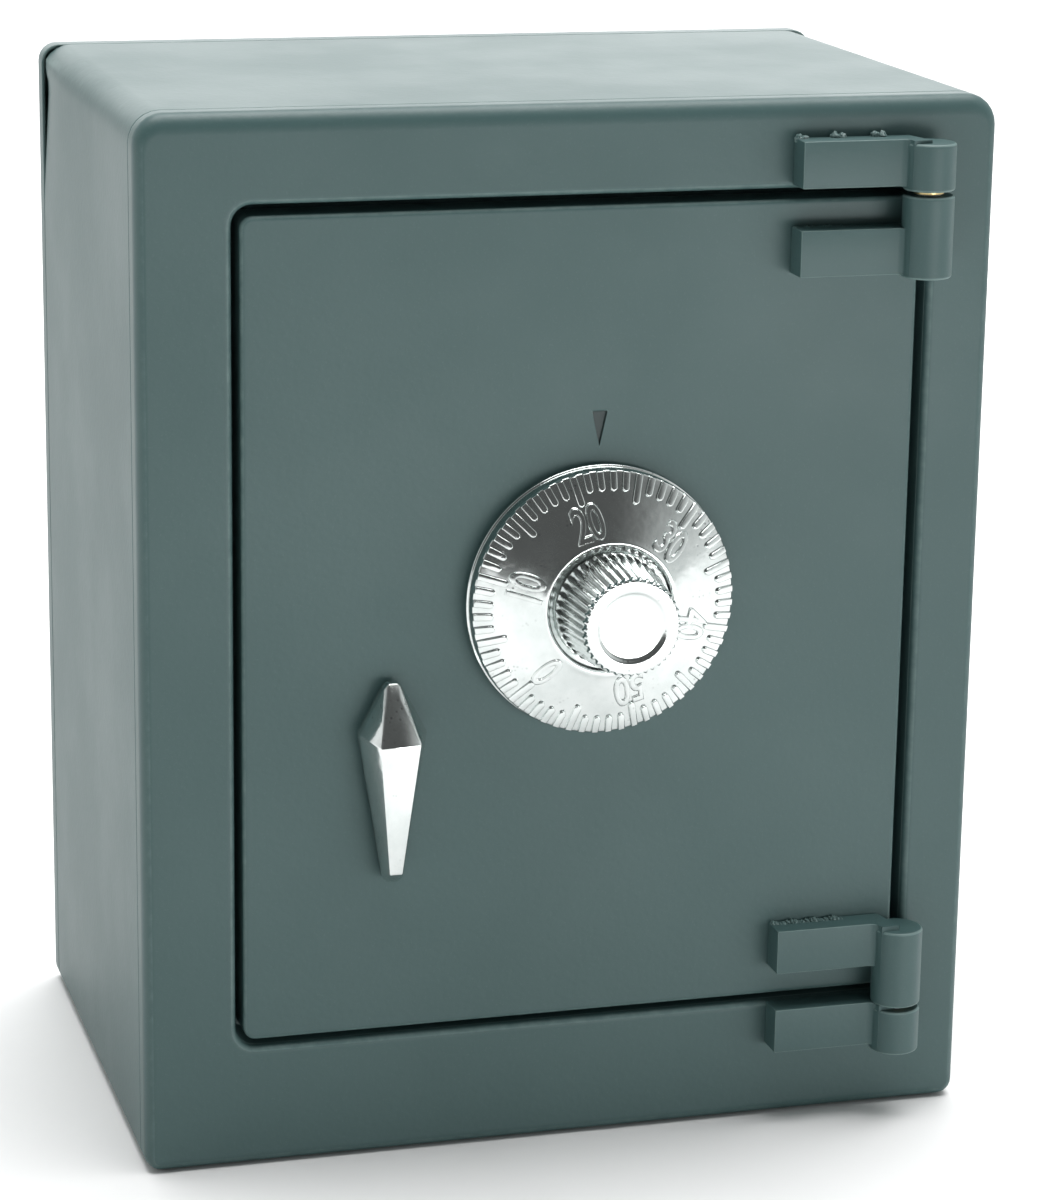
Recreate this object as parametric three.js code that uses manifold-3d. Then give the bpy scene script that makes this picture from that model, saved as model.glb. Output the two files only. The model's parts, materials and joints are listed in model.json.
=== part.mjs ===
// A small upright fire-resistant safe with a side-hung door, a combination dial,
// a lever handle and bolt work behind the door. Millimetres, +Z up, front faces -Y.
// The origin is the middle of the flat bottom.
import * as THREE from 'three';
import { mergeVertices } from 'three/addons/utils/BufferGeometryUtils.js';
import { ConvexGeometry } from 'three/addons/geometries/ConvexGeometry.js';
import Module from 'manifold-3d';

const wasm = await Module();
wasm.setup();

// ---- Driving dimensions -------------------------------------------------------------

// Body
const bodyWidth = 270;
const bodyHeight = 331;
const bodyDepth = 181;
const topEdgeRadius = 9.5;
const bottomEdgeRadius = 5.5;
const frontEdgeRadius = 4.5;
const shellWall = 2.5;
const rearFlange = 14;
const coverDepth = 9;
const coverSheet = 2;
const coverCornerRadius = 6;

// Frame around the door opening
const frameLeft = 28.9;
const frameRight = 21.3;
const frameTop = 27.4;
const frameBottom = 39.4;
const jambWall = 2;
const ledgeWidth = 7.6;
const ledgeSheet = 2;

// Door
const gapLeft = 2.3;
const gapRight = 3.6;
const gapTop = 3.2;
const gapBottom = 2.4;
const doorCornerRadius = 4;
const doorSkin = 3;
const doorFlangeWall = 2;
const doorFlangeDepth = 14;
const backPlate = 2;
const sealWidth = 4;
const sealInset = 0.8;
const sealThickness = 1.8;
const markWidth = 4.9;
const markHeight = 11;
const markAboveDial = 47.6;
const markDepth = 0.6;

// Inner box
const linerWall = 1.5;
const rearFill = 28.9;

// Bolt work cover on the inside of the door
const workInset = 12;
const workSheet = 1.5;
const workDepth = 27.4;

// Hinges
const hingeAxisFromDoorEdge = 1.05;
const barrelRadius = 8;
const barrelStandOff = 1;
const leafLength = 41;
const leafThickness = 9.2;
const leafHeight = 14.4;
const knuckleGap = 1.4;
const washerThickness = 0.8;
const pinRadius = 4;
const frameBarrelHeight = 14.7;
const doorBarrelHeight = 25.5;
const doorBarrelOverTop = 1.8;
const doorBarrelUnderBottom = 2.6;
const knuckleCap = 3.3;
const pinInDoor = 16;

// Dial
const dialFromDoorEdge = 111.8;
const dialAboveDoorBottom = 136.7;
const dialRadius = 42.5;
const dialStandOff = 1.5;
const dialRim = 6;
const dialRise = 14.5;
const knobBaseRadius = 22;
const knobRadius = 18;
const knobFaceRadius = 15.5;
const knobLength = 21.5;
const knobSocket = 8;
const spindleRadius = 4;

// Handle
const handleFromDoorEdge = 45.8;
const handleAboveDoorBottom = 99.2;
const handleHalfWidth = 10.7;
const handleAbovePivot = 15.4;
const handleBelowPivot = 48.6;
const handleHeight = 16.5;
const handleSpindleRadius = 4.5;
const handleSocket = 6;

// Bolt work
const boltThrow = 14;
const handleTurn = THREE.MathUtils.degToRad(60);
const boltRadius = 6;
const boltBackset = 0.2;
const boltDepth = 30;
const barThickness = 3;
const barWidth = 16;
const armWeb = 3;
const crankPinRadius = 3;
const crankPlate = 3.5;
const middleBoltAboveHandle = 30;
const lowerBoltBelowHandle = 51;
const upperBoltBelowDoorTop = 48;
const guideShank = 3;
const guideHead = 5;
const screwShank = 2;
const studRadius = 4;
const studReach = 13;
const studInset = 57.8;
const keeperPlate = 3;

// Combination lock
const caseWall = 2;
const caseLeftRoom = 12;
const caseRightRoom = 8;
const caseTopRoom = 5.4;
const caseDepth = 21.4;
const wheelRadius = 20;
const wheelThickness = 1.8;
const wheelPitch = 4;
const firstWheel = 20;
const postRadius = 6.5;
const postBore = 4.6;
const gateWidth = 5;
const gateDepth = 4.5;
const camRadius = 18;
const camThickness = 4;
const lockBoltWidth = 7;
const lockBoltTravel = 8;
const lockBoltHeight = 8;
const lockBoltUnderWheels = 4.2;
const fenceGap = 0.7;
const leverToNose = 6;

// Clearances
const seat = 0.3;
const running = 0.3;
const sliding = 0.4;
const passing = 1;

// ---- Places that follow from the dimensions -------------------------------------------

const frontY = -bodyDepth / 2;
const left = -bodyWidth / 2;
const right = bodyWidth / 2;
const at = (depth) => frontY + depth;

const opening = {
  x0: left + frameLeft,
  x1: right - frameRight,
  z0: frameBottom,
  z1: bodyHeight - frameTop,
};
const door = {
  x0: opening.x0 + gapLeft,
  x1: opening.x1 - gapRight,
  z0: opening.z0 + gapBottom,
  z1: opening.z1 - gapTop,
};
const openingRadius = doorCornerRadius + gapLeft;
const inset = (r, by) => ({ x0: r.x0 + by, x1: r.x1 - by, z0: r.z0 + by, z1: r.z1 - by });

const shellEnd = bodyDepth - coverDepth - seat;
const shellOuter = { x0: left, x1: right, z0: 0, z1: bodyHeight };
const shellInner = inset(shellOuter, shellWall);
const flangeInner = inset(shellInner, rearFlange);

const backPlateStart = doorFlangeDepth + seat;
const backPlateEnd = backPlateStart + backPlate;
const sealStart = backPlateEnd + seat;
const ledgeStart = sealStart + sealThickness + seat;
const linerStart = ledgeStart + ledgeSheet + seat;
const linerInner = inset(opening, ledgeWidth);
const linerOuter = inset(linerInner, -linerWall);
const linerEnd = bodyDepth - coverSheet - seat - rearFill - seat;

const work = inset(door, workInset);
const workStart = backPlateEnd + seat;
const workEnd = workStart + workDepth;
const workInner = inset(work, workSheet);

const hingeX = door.x1 - hingeAxisFromDoorEdge;
const hingeY = frontY - barrelStandOff - barrelRadius;
const dialX = door.x0 + dialFromDoorEdge;
const dialZ = door.z0 + dialAboveDoorBottom;
const handleX = door.x0 + handleFromDoorEdge;
const handleZ = door.z0 + handleAboveDoorBottom;

const crankRadius = boltThrow / 2 / Math.sin(handleTurn / 2);
const pinDrop = crankRadius * Math.cos(handleTurn / 2);
const boltTip = work.x0 + boltBackset;
const boltHeights = {
  upper: door.z1 - upperBoltBelowDoorTop,
  middle: handleZ + middleBoltAboveHandle,
  lower: handleZ - lowerBoltBelowHandle,
};
const barStart = boltDepth + boltRadius + seat;
const barEnd = barStart + barThickness;
const barLeft = workInner.x0 + boltThrow + passing;
const boltLength = barLeft - boltTip + barWidth;
const pinSlotTop = handleZ - pinDrop + crankPinRadius + sliding;
const pinSlotBottom = handleZ - crankRadius - crankPinRadius - sliding;
const armTop = pinSlotTop + armWeb;
const armBottom = pinSlotBottom - armWeb;
const crankStart = barStart - seat - crankPlate - 1.2;
const caseStart = backPlateEnd + seat;
const caseEnd = caseStart + caseDepth;
const blockTop = dialZ - wheelRadius - lockBoltUnderWheels;
const blockBottom = blockTop - lockBoltHeight;
const caseBox = {
  x0: dialX - wheelRadius - caseLeftRoom - caseWall,
  x1: dialX + wheelRadius + caseRightRoom + caseWall,
  z0: blockBottom - sliding - lockBoltTravel - caseWall,
  z1: dialZ + wheelRadius + caseTopRoom + caseWall,
};
const leverPivotX = dialX - wheelRadius - fenceGap;
const lockBoltX0 = leverPivotX + leverToNose;
const lockBoltX1 = lockBoltX0 + lockBoltWidth;

// ---- Solids ---------------------------------------------------------------------------

// A closed geometry as a manifold solid: shared corners merged, slivers dropped.
function solid(geometry) {
  const bare = geometry.clone();
  bare.deleteAttribute('normal');
  bare.deleteAttribute('uv');
  const merged = mergeVertices(bare, 1e-4);
  const index = merged.index.array;
  const triVerts = [];
  for (let i = 0; i < index.length; i += 3) {
    const [a, b, c] = [index[i], index[i + 1], index[i + 2]];
    if (a !== b && b !== c && c !== a) triVerts.push(a, b, c);
  }
  const vertProperties = new Float32Array(merged.attributes.position.array);
  const mesh = new wasm.Mesh({ numProp: 3, vertProperties, triVerts: new Uint32Array(triVerts) });
  return new wasm.Manifold(mesh);
}

function geometryOf(body) {
  const mesh = body.getMesh();
  const geometry = new THREE.BufferGeometry();
  geometry.setAttribute('position', new THREE.BufferAttribute(mesh.vertProperties, 3));
  geometry.setIndex(new THREE.BufferAttribute(mesh.triVerts, 1));
  geometry.computeVertexNormals();
  return geometry;
}

// A block between two depths behind the front face.
function block(r, depth0, depth1) {
  const geometry = new THREE.BoxGeometry(r.x1 - r.x0, depth1 - depth0, r.z1 - r.z0);
  geometry.translate((r.x0 + r.x1) / 2, at((depth0 + depth1) / 2), (r.z0 + r.z1) / 2);
  return solid(geometry);
}

// Turns an outline drawn in x and z into a plate between two depths.
function plate(shape, depth0, depth1, options = {}) {
  const settings = { depth: depth1 - depth0, bevelEnabled: false, curveSegments: 2, ...options };
  const geometry = new THREE.ExtrudeGeometry(shape, settings);
  geometry.rotateX(Math.PI / 2);
  geometry.translate(0, at(depth1), 0);
  return solid(geometry);
}

function roundedOutline(r, topRadius, bottomRadius = topRadius) {
  const shape = new THREE.Shape();
  shape.moveTo(r.x0 + bottomRadius, r.z0);
  shape.lineTo(r.x1 - bottomRadius, r.z0);
  shape.absarc(r.x1 - bottomRadius, r.z0 + bottomRadius, bottomRadius, -Math.PI / 2, 0);
  shape.lineTo(r.x1, r.z1 - topRadius);
  shape.absarc(r.x1 - topRadius, r.z1 - topRadius, topRadius, 0, Math.PI / 2);
  shape.lineTo(r.x0 + topRadius, r.z1);
  shape.absarc(r.x0 + topRadius, r.z1 - topRadius, topRadius, Math.PI / 2, Math.PI);
  shape.lineTo(r.x0, r.z0 + bottomRadius);
  shape.absarc(r.x0 + bottomRadius, r.z0 + bottomRadius, bottomRadius, Math.PI, 1.5 * Math.PI);
  return shape;
}

function rod(radius, length, sides = 16) {
  return new THREE.CylinderGeometry(radius, radius, length, sides);
}

// Round bars along each axis, placed by their centre line and their two ends.
function rodY(x, z, radius, depth0, depth1, sides) {
  return solid(rod(radius, depth1 - depth0, sides).translate(x, at((depth0 + depth1) / 2), z));
}

function rodX(x0, x1, depth, z, radius, sides) {
  const geometry = rod(radius, x1 - x0, sides).rotateZ(Math.PI / 2);
  return solid(geometry.translate((x0 + x1) / 2, at(depth), z));
}

function rodZ(x, y, z0, z1, radius, sides) {
  const geometry = rod(radius, z1 - z0, sides).rotateX(Math.PI / 2);
  return solid(geometry.translate(x, y, (z0 + z1) / 2));
}

// A turned piece about the local Y axis from [radius, y] pairs, going round anticlockwise.
function turned(profile, sides = 16) {
  const points = profile.map(([radius, y]) => new THREE.Vector2(radius, y));
  return solid(new THREE.LatheGeometry(points, sides));
}

// A ring of rectangular section about the local Y axis.
function ring(inner, outer, y0, y1, sides = 20) {
  return turned([[inner, y0], [outer, y0], [outer, y1], [inner, y1], [inner, y0]], sides);
}

// ---- Finishes -------------------------------------------------------------------------

const finish = (color, roughness, metalness) => () =>
  new THREE.MeshStandardMaterial({ color, roughness, metalness });
const paint = finish(0x5a6f6f, 0.42, 0.1);
const plated = finish(0xc9cdcb, 0.16, 1);
const bareSteel = finish(0x8e9294, 0.35, 1);
const zincSheet = finish(0xa7acad, 0.45, 0.9);
const brass = finish(0xb59a55, 0.3, 1);
const fireFill = finish(0xcfc9bb, 0.95, 0);
const sealRubber = finish(0x1c1c1d, 0.8, 0);

function piece(parent, name, body, material) {
  const mesh = new THREE.Mesh(geometryOf(body), material());
  mesh.name = name;
  parent.add(mesh);
  return mesh;
}

const safe = new THREE.Group();

// ---- Body -----------------------------------------------------------------------------

const rearScrewInset = shellWall + rearFlange / 2;
const rearScrewHeadRadius = 4;
const rearScrewLength = 15;
const screwSunk = 0.1;
const rearScrewPlaces = [
  [left + rearScrewInset, rearScrewInset],
  [right - rearScrewInset, rearScrewInset],
  [left + rearScrewInset, bodyHeight - rearScrewInset],
  [right - rearScrewInset, bodyHeight - rearScrewInset],
];
const shellInnerRadius = { top: topEdgeRadius - shellWall, bottom: bottomEdgeRadius - shellWall };

function outerShell() {
  const rounding = {
    bevelEnabled: true,
    bevelThickness: frontEdgeRadius,
    bevelSize: frontEdgeRadius,
    bevelOffset: -frontEdgeRadius,
    bevelSegments: 3,
  };
  const outline = roundedOutline(shellOuter, topEdgeRadius, bottomEdgeRadius);
  const past = shellEnd + 2 * frontEdgeRadius;
  const outer = plate(outline, frontEdgeRadius, past, rounding);
  const hollowOutline = roundedOutline(shellInner, shellInnerRadius.top, shellInnerRadius.bottom);
  let shell = outer
    .subtract(block(inset(shellOuter, -1), shellEnd, past + 2 * frontEdgeRadius))
    .subtract(plate(hollowOutline, shellWall, shellEnd - shellWall))
    .subtract(block(flangeInner, shellEnd - 2 * shellWall, shellEnd + 1))
    .subtract(plate(roundedOutline(opening, openingRadius), -1, 2 * shellWall));
  for (const [x, z] of rearScrewPlaces) {
    shell = shell.subtract(rodY(x, z, screwShank + seat, shellEnd - 2 * shellWall, shellEnd + 1, 12));
  }
  return shell;
}

function jambFrame() {
  const start = shellWall + seat;
  const end = ledgeStart + ledgeSheet;
  const outer = roundedOutline(inset(opening, -jambWall), openingRadius + jambWall);
  return plate(outer, start, end)
    .subtract(plate(roundedOutline(opening, openingRadius), start - 1, ledgeStart))
    .subtract(block(linerInner, ledgeStart - 1, end + 1));
}

function innerLiner() {
  let liner = block(linerOuter, linerStart, linerEnd)
    .subtract(block(linerInner, linerStart - 1, linerEnd - linerWall));
  for (const z of Object.values(boltHeights)) {
    const hole = rodX(linerOuter.x0 - 1, linerInner.x0 + 1, boltDepth, z, boltRadius + passing);
    liner = liner.subtract(hole);
  }
  for (const z of studHeights) {
    const hole = rodX(linerInner.x1 - 1, linerOuter.x1 + 1, boltDepth, z, studRadius + 2 * passing);
    liner = liner.subtract(hole);
  }
  return liner;
}

const studHeights = [door.z0 + studInset, door.z1 - studInset];
const keeperMargin = 14;
const keeperBox = {
  x0: linerOuter.x0 - seat - keeperPlate,
  x1: linerOuter.x0 - seat,
  z0: boltHeights.lower - keeperMargin,
  z1: boltHeights.upper + keeperMargin,
};
const keeperHalfWidth = 9;

function boltKeeper() {
  let keeper = block(keeperBox, boltDepth - keeperHalfWidth, boltDepth + keeperHalfWidth);
  for (const z of Object.values(boltHeights)) {
    const hole = rodX(keeperBox.x0 - 1, keeperBox.x1 + 1, boltDepth, z, boltRadius + passing);
    keeper = keeper.subtract(hole);
  }
  return keeper;
}

const rearSlab = inset(flangeInner, seat);
const rearSlabStart = linerEnd + seat;
const rearSlabEnd = bodyDepth - coverSheet - seat;

function bodyInsulation() {
  const outline = roundedOutline(
    inset(shellInner, seat), shellInnerRadius.top - seat, shellInnerRadius.bottom - seat);
  const pocketDepth = keeperHalfWidth + seat;
  const boltReach = boltTip - boltThrow - passing;
  const studEnd = work.x1 + studReach + passing;
  let fill = plate(outline, shellWall + seat, shellEnd - shellWall - seat)
    .subtract(block(inset(opening, -jambWall - seat), shellWall - 1, linerStart))
    .subtract(block(inset(linerOuter, -seat), linerStart - 1, linerEnd + seat))
    .subtract(block(inset(rearSlab, -seat), linerEnd, shellEnd))
    .subtract(block(inset(keeperBox, -seat), boltDepth - pocketDepth, boltDepth + pocketDepth));
  for (const z of Object.values(boltHeights)) {
    fill = fill.subtract(rodX(boltReach, linerOuter.x0, boltDepth, z, boltRadius + passing));
  }
  for (const z of studHeights) {
    fill = fill.subtract(rodX(linerOuter.x1 - 1, studEnd, boltDepth, z, studRadius + 2 * passing));
  }
  for (const [x, z] of rearScrewPlaces) {
    const hole = rodY(x, z, screwShank + seat, bodyDepth - rearScrewLength - 1, shellEnd, 12);
    fill = fill.subtract(hole);
  }
  return fill;
}

function rearCover() {
  const start = bodyDepth - coverDepth;
  const outer = roundedOutline(shellOuter, coverCornerRadius, bottomEdgeRadius);
  const hollow = roundedOutline(
    inset(shellOuter, coverSheet), coverCornerRadius - coverSheet, bottomEdgeRadius - coverSheet);
  let cover = plate(outer, start, bodyDepth)
    .subtract(plate(hollow, start - 1, bodyDepth - coverSheet));
  for (const [x, z] of rearScrewPlaces) {
    const sink = turned([
      [0, -coverSheet - 1],
      [screwShank + seat, -coverSheet - 1],
      [screwShank + seat, -coverSheet],
      [rearScrewHeadRadius + seat, -screwSunk],
      [rearScrewHeadRadius + seat, 1],
      [0, 1],
    ]);
    cover = cover.subtract(sink.translate([x, at(bodyDepth), z]));
  }
  return cover;
}

function rearScrew() {
  return turned([
    [0, -rearScrewLength],
    [screwShank, -rearScrewLength],
    [screwShank, -coverSheet],
    [rearScrewHeadRadius, -screwSunk],
    [0, -screwSunk],
  ], 16);
}

piece(safe, 'outer_shell', outerShell(), paint);
piece(safe, 'jamb_frame', jambFrame(), paint);
piece(safe, 'inner_liner', innerLiner(), paint);
piece(safe, 'bolt_keeper', boltKeeper(), bareSteel);
piece(safe, 'body_insulation', bodyInsulation(), fireFill);
piece(safe, 'rear_insulation', block(rearSlab, rearSlabStart, rearSlabEnd), fireFill);
piece(safe, 'rear_cover', rearCover(), paint);
rearScrewPlaces.forEach(([x, z], i) => {
  piece(safe, `rear_cover_screw_${i + 1}`, rearScrew(), zincSheet).position.set(x, at(bodyDepth), z);
});

// ---- Hinges ---------------------------------------------------------------------------

const leafX0 = hingeX - leafLength;
const leafDepth = { from: -seat - leafThickness, to: -seat };

// One knuckle with its leaf. The pin enters the knuckle from the end at pinFrom.
function hingeHalf(leafBottom, barrelBottom, barrelHeight, pinFrom, pinTo) {
  const leafTop = leafBottom + leafHeight;
  const barrelTop = barrelBottom + barrelHeight;
  const leafEnd = hingeX - barrelRadius - seat;
  const leaf = { x0: leafX0, x1: leafEnd, z0: leafBottom, z1: leafTop };
  const neck = {
    x0: leafEnd - 1,
    x1: hingeX,
    z0: Math.max(leafBottom, barrelBottom),
    z1: Math.min(leafTop, barrelTop),
  };
  return block(leaf, leafDepth.from, leafDepth.to)
    .add(block(neck, leafDepth.from, leafDepth.to))
    .add(rodZ(hingeX, hingeY, barrelBottom, barrelTop, barrelRadius, 24))
    .subtract(rodZ(hingeX, hingeY, pinFrom, pinTo, pinRadius + running));
}

const upperDoorBarrelTop = door.z1 + doorBarrelOverTop;
const upperFrameBarrel = upperDoorBarrelTop + knuckleGap;
const lowerDoorBarrelBottom = door.z0 - doorBarrelUnderBottom;
const lowerFrameBarrelTop = lowerDoorBarrelBottom - knuckleGap;
const upperPin = {
  z0: upperDoorBarrelTop - pinInDoor,
  z1: upperFrameBarrel + frameBarrelHeight - knuckleCap,
};
const lowerPin = {
  z0: lowerFrameBarrelTop - frameBarrelHeight + knuckleCap,
  z1: lowerDoorBarrelBottom + pinInDoor,
};
const frameLeafStep = 1.3;
const doorLeafStep = 1;
const lowerLeafRise = 1.6;

const upperFrameLeaf = hingeHalf(
  upperFrameBarrel + frameLeafStep, upperFrameBarrel, frameBarrelHeight,
  upperFrameBarrel - 1, upperPin.z1 + seat);
const upperDoorLeaf = hingeHalf(
  upperDoorBarrelTop - doorBarrelHeight + doorLeafStep,
  upperDoorBarrelTop - doorBarrelHeight, doorBarrelHeight,
  upperPin.z0 - seat, upperDoorBarrelTop + 1);
const lowerDoorLeaf = hingeHalf(
  lowerDoorBarrelBottom + doorBarrelHeight - leafHeight + lowerLeafRise,
  lowerDoorBarrelBottom, doorBarrelHeight,
  lowerDoorBarrelBottom - 1, lowerPin.z1 + seat);
const lowerFrameLeaf = hingeHalf(
  lowerFrameBarrelTop - leafHeight + lowerLeafRise,
  lowerFrameBarrelTop - frameBarrelHeight, frameBarrelHeight,
  lowerPin.z0 - seat, lowerFrameBarrelTop + 1);

piece(safe, 'hinge_upper_frame_leaf', upperFrameLeaf, paint);
piece(safe, 'hinge_lower_frame_leaf', lowerFrameLeaf, paint);
for (const [name, pin] of [['upper', upperPin], ['lower', lowerPin]]) {
  const length = pin.z1 - pin.z0;
  const mesh = piece(safe, `hinge_${name}_pin`, solid(rod(pinRadius, length)), bareSteel);
  mesh.position.set(hingeX, hingeY, pin.z0 + length / 2);
  mesh.rotation.x = Math.PI / 2;
}
const washerPlaces = {
  upper: upperDoorBarrelTop + knuckleGap / 2,
  lower: lowerFrameBarrelTop + knuckleGap / 2,
};
for (const [name, z] of Object.entries(washerPlaces)) {
  const washer = ring(
    pinRadius + running, barrelRadius - 0.5, -washerThickness / 2, washerThickness / 2);
  const mesh = piece(safe, `hinge_${name}_washer`, washer, brass);
  mesh.position.set(hingeX, hingeY, z);
  mesh.rotation.x = Math.PI / 2;
}

// ---- Door -----------------------------------------------------------------------------

const doorGroup = new THREE.Group();
safe.add(doorGroup);

const tubeOuter = 7;
const handlePlateHole = handleSpindleRadius + passing;
const dialPlateHole = spindleRadius + passing;

function doorPlate() {
  const hollow = inset(door, doorFlangeWall);
  const hollowRadius = doorCornerRadius - doorFlangeWall;
  const mark = new THREE.Shape();
  mark.moveTo(dialX - markWidth / 2, dialZ + markAboveDial + markHeight);
  mark.lineTo(dialX, dialZ + markAboveDial);
  mark.lineTo(dialX + markWidth / 2, dialZ + markAboveDial + markHeight);
  return plate(roundedOutline(door, doorCornerRadius), 0, doorFlangeDepth)
    .subtract(plate(roundedOutline(hollow, hollowRadius), doorSkin, doorFlangeDepth + 1))
    .subtract(rodY(dialX, dialZ, dialPlateHole, -1, doorSkin + 1))
    .subtract(rodY(handleX, handleZ, handlePlateHole, -1, doorSkin + 1))
    .subtract(plate(mark, -1, markDepth));
}

function throughDoor(body, depth0, depth1) {
  return body
    .subtract(rodY(dialX, dialZ, tubeOuter + seat, depth0, depth1))
    .subtract(rodY(handleX, handleZ, tubeOuter + seat, depth0, depth1));
}

function doorInsulation() {
  const fill = inset(door, doorFlangeWall + seat);
  const body = plate(roundedOutline(fill, doorCornerRadius - doorFlangeWall - seat),
    doorSkin + seat, doorFlangeDepth);
  return throughDoor(body, doorSkin, doorFlangeDepth + 1);
}

function doorBackPlate() {
  const outline = roundedOutline(inset(door, seat), doorCornerRadius - seat);
  const body = plate(outline, backPlateStart, backPlateEnd);
  return throughDoor(body, backPlateStart - 1, backPlateEnd + 1);
}

function doorSeal() {
  const outer = roundedOutline(inset(door, sealInset), doorCornerRadius - sealInset);
  return plate(outer, sealStart, sealStart + sealThickness)
    .subtract(block(inset(door, sealInset + sealWidth), sealStart - 1, ledgeStart));
}

const workScrewInset = 12;
const workScrewLength = 22;
const workPillarRadius = 4;
const workScrewPlaces = [
  [work.x0 + workScrewInset, work.z0 + workScrewInset],
  [work.x1 - workScrewInset, work.z0 + workScrewInset],
  [work.x0 + workScrewInset, work.z1 - workScrewInset],
  [work.x1 - workScrewInset, work.z1 - workScrewInset],
];

function boltworkCover() {
  let cover = plate(roundedOutline(work, 5), workStart, workEnd)
    .subtract(plate(roundedOutline(workInner, 5 - workSheet), workStart - 1, workEnd - workSheet));
  for (const z of Object.values(boltHeights)) {
    cover = cover.subtract(rodX(work.x0 - 1, workInner.x0 + 1, boltDepth, z, boltRadius + sliding));
  }
  for (const z of studHeights) {
    cover = cover.subtract(rodX(workInner.x1 - 1, work.x1 + 1, boltDepth, z, studRadius + sliding));
  }
  for (const [x, z] of workScrewPlaces) {
    cover = cover.add(rodY(x, z, workPillarRadius, workStart, workEnd, 12))
      .subtract(rodY(x, z, screwShank + seat, workStart - 1, workEnd + 1, 12));
  }
  return cover;
}

// A pan head screw lying along the local Y axis, its head's seat at y = 0.
function panScrew(length, headRadius = 4, headHeight = 1.8) {
  return turned([
    [0, -length],
    [screwShank, -length],
    [screwShank, 0],
    [headRadius, 0],
    [headRadius, headHeight * 0.6],
    [headRadius * 0.7, headHeight],
    [0, headHeight],
  ], 12);
}

piece(doorGroup, 'door_plate', doorPlate(), paint);
piece(doorGroup, 'door_insulation', doorInsulation(), fireFill);
piece(doorGroup, 'door_back_plate', doorBackPlate(), paint);
piece(doorGroup, 'door_seal', doorSeal(), sealRubber);
piece(doorGroup, 'boltwork_cover', boltworkCover(), paint);
workScrewPlaces.forEach(([x, z], i) => {
  const mesh = piece(doorGroup, `boltwork_cover_screw_${i + 1}`, panScrew(workScrewLength), zincSheet);
  mesh.position.set(x, at(workEnd + seat), z);
});
piece(doorGroup, 'hinge_upper_door_leaf', upperDoorLeaf, paint);
piece(doorGroup, 'hinge_lower_door_leaf', lowerDoorLeaf, paint);

// Fixed studs on the hinge side, held in an upright bar.
const studBar = {
  x0: workInner.x1 - 14,
  x1: workInner.x1 - 5,
  z0: studHeights[0] - 12,
  z1: studHeights[1] + 12,
};
const studBarEnd = boltDepth + studRadius + 4;

function studBarPlate() {
  let bar = block(studBar, workStart, studBarEnd);
  for (const z of studHeights) {
    bar = bar.subtract(rodX(studBar.x0 - 1, studBar.x1 + 1, boltDepth, z, studRadius + seat));
  }
  return bar;
}

piece(doorGroup, 'stud_bar', studBarPlate(), bareSteel);
['lower', 'upper'].forEach((name, i) => {
  const length = work.x1 + studReach - studBar.x0;
  const mesh = piece(doorGroup, `fixed_stud_${name}`, solid(rod(studRadius, length)), bareSteel);
  mesh.position.set(studBar.x0 + length / 2, at(boltDepth), studHeights[i]);
  mesh.rotation.z = Math.PI / 2;
});

// ---- Combination lock -----------------------------------------------------------------

const wheelStart = (i) => firstWheel + i * wheelPitch;
const camStart = wheelStart(3) - 0.5;
const postEnd = wheelStart(2) + wheelThickness + 0.5;
const lockScrewInset = 6;
const lockScrewPlaces = [
  [caseBox.x1 - lockScrewInset, caseBox.z1 - lockScrewInset],
  [caseBox.x1 - lockScrewInset, caseBox.z0 + lockScrewInset],
];
const lockBossRadius = 4.6;
const lockCoverSheet = 2;
const lockBoltDepth = { from: 22.4, to: 29.6 };

function lockCase() {
  const inner = inset(caseBox, caseWall);
  let box = block(caseBox, caseStart, caseEnd)
    .subtract(block(inner, caseStart + caseWall, caseEnd + 1))
    .add(rodY(dialX, dialZ, postRadius, caseStart, postEnd));
  for (const [x, z] of lockScrewPlaces) {
    box = box.add(rodY(x, z, lockBossRadius, caseStart, caseEnd, 12))
      .subtract(rodY(x, z, screwShank + seat, caseEnd - 10, caseEnd + 1, 12));
  }
  const slot = {
    x0: lockBoltX0 - sliding,
    x1: lockBoltX1 + sliding,
    z0: caseBox.z0 - 1,
    z1: inner.z0 + 1,
  };
  return box
    .subtract(rodY(dialX, dialZ, postBore, caseStart - 1, caseEnd))
    .subtract(block(slot, lockBoltDepth.from - sliding, lockBoltDepth.to + sliding));
}

function lockCover() {
  let cover = block(caseBox, caseEnd + seat, caseEnd + seat + lockCoverSheet);
  for (const [x, z] of lockScrewPlaces) {
    cover = cover.subtract(rodY(x, z, screwShank + seat, caseEnd, caseEnd + 5, 12));
  }
  return cover;
}

piece(doorGroup, 'lock_case', lockCase(), zincSheet);
piece(doorGroup, 'lock_cover', lockCover(), zincSheet);
lockScrewPlaces.forEach(([x, z], i) => {
  const screw = panScrew(9, 3.5, 1.2);
  const mesh = piece(doorGroup, `lock_cover_screw_${i + 1}`, screw, zincSheet);
  mesh.position.set(x, at(caseEnd + lockCoverSheet + 2 * seat), z);
});
piece(doorGroup, 'dial_spindle_tube',
  ring(spindleRadius + 0.6, tubeOuter, doorSkin + seat, caseStart - seat), brass)
  .position.set(dialX, frontY, dialZ);

const dialGroup = new THREE.Group();
dialGroup.position.set(dialX, frontY, dialZ);
doorGroup.add(dialGroup);
const dialBack = -dialStandOff;
const dialRimFront = dialBack - dialRim;
const dialFront = dialBack - dialRise;
const knobBack = dialFront - seat;
const knobFront = knobBack - knobLength;

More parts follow.
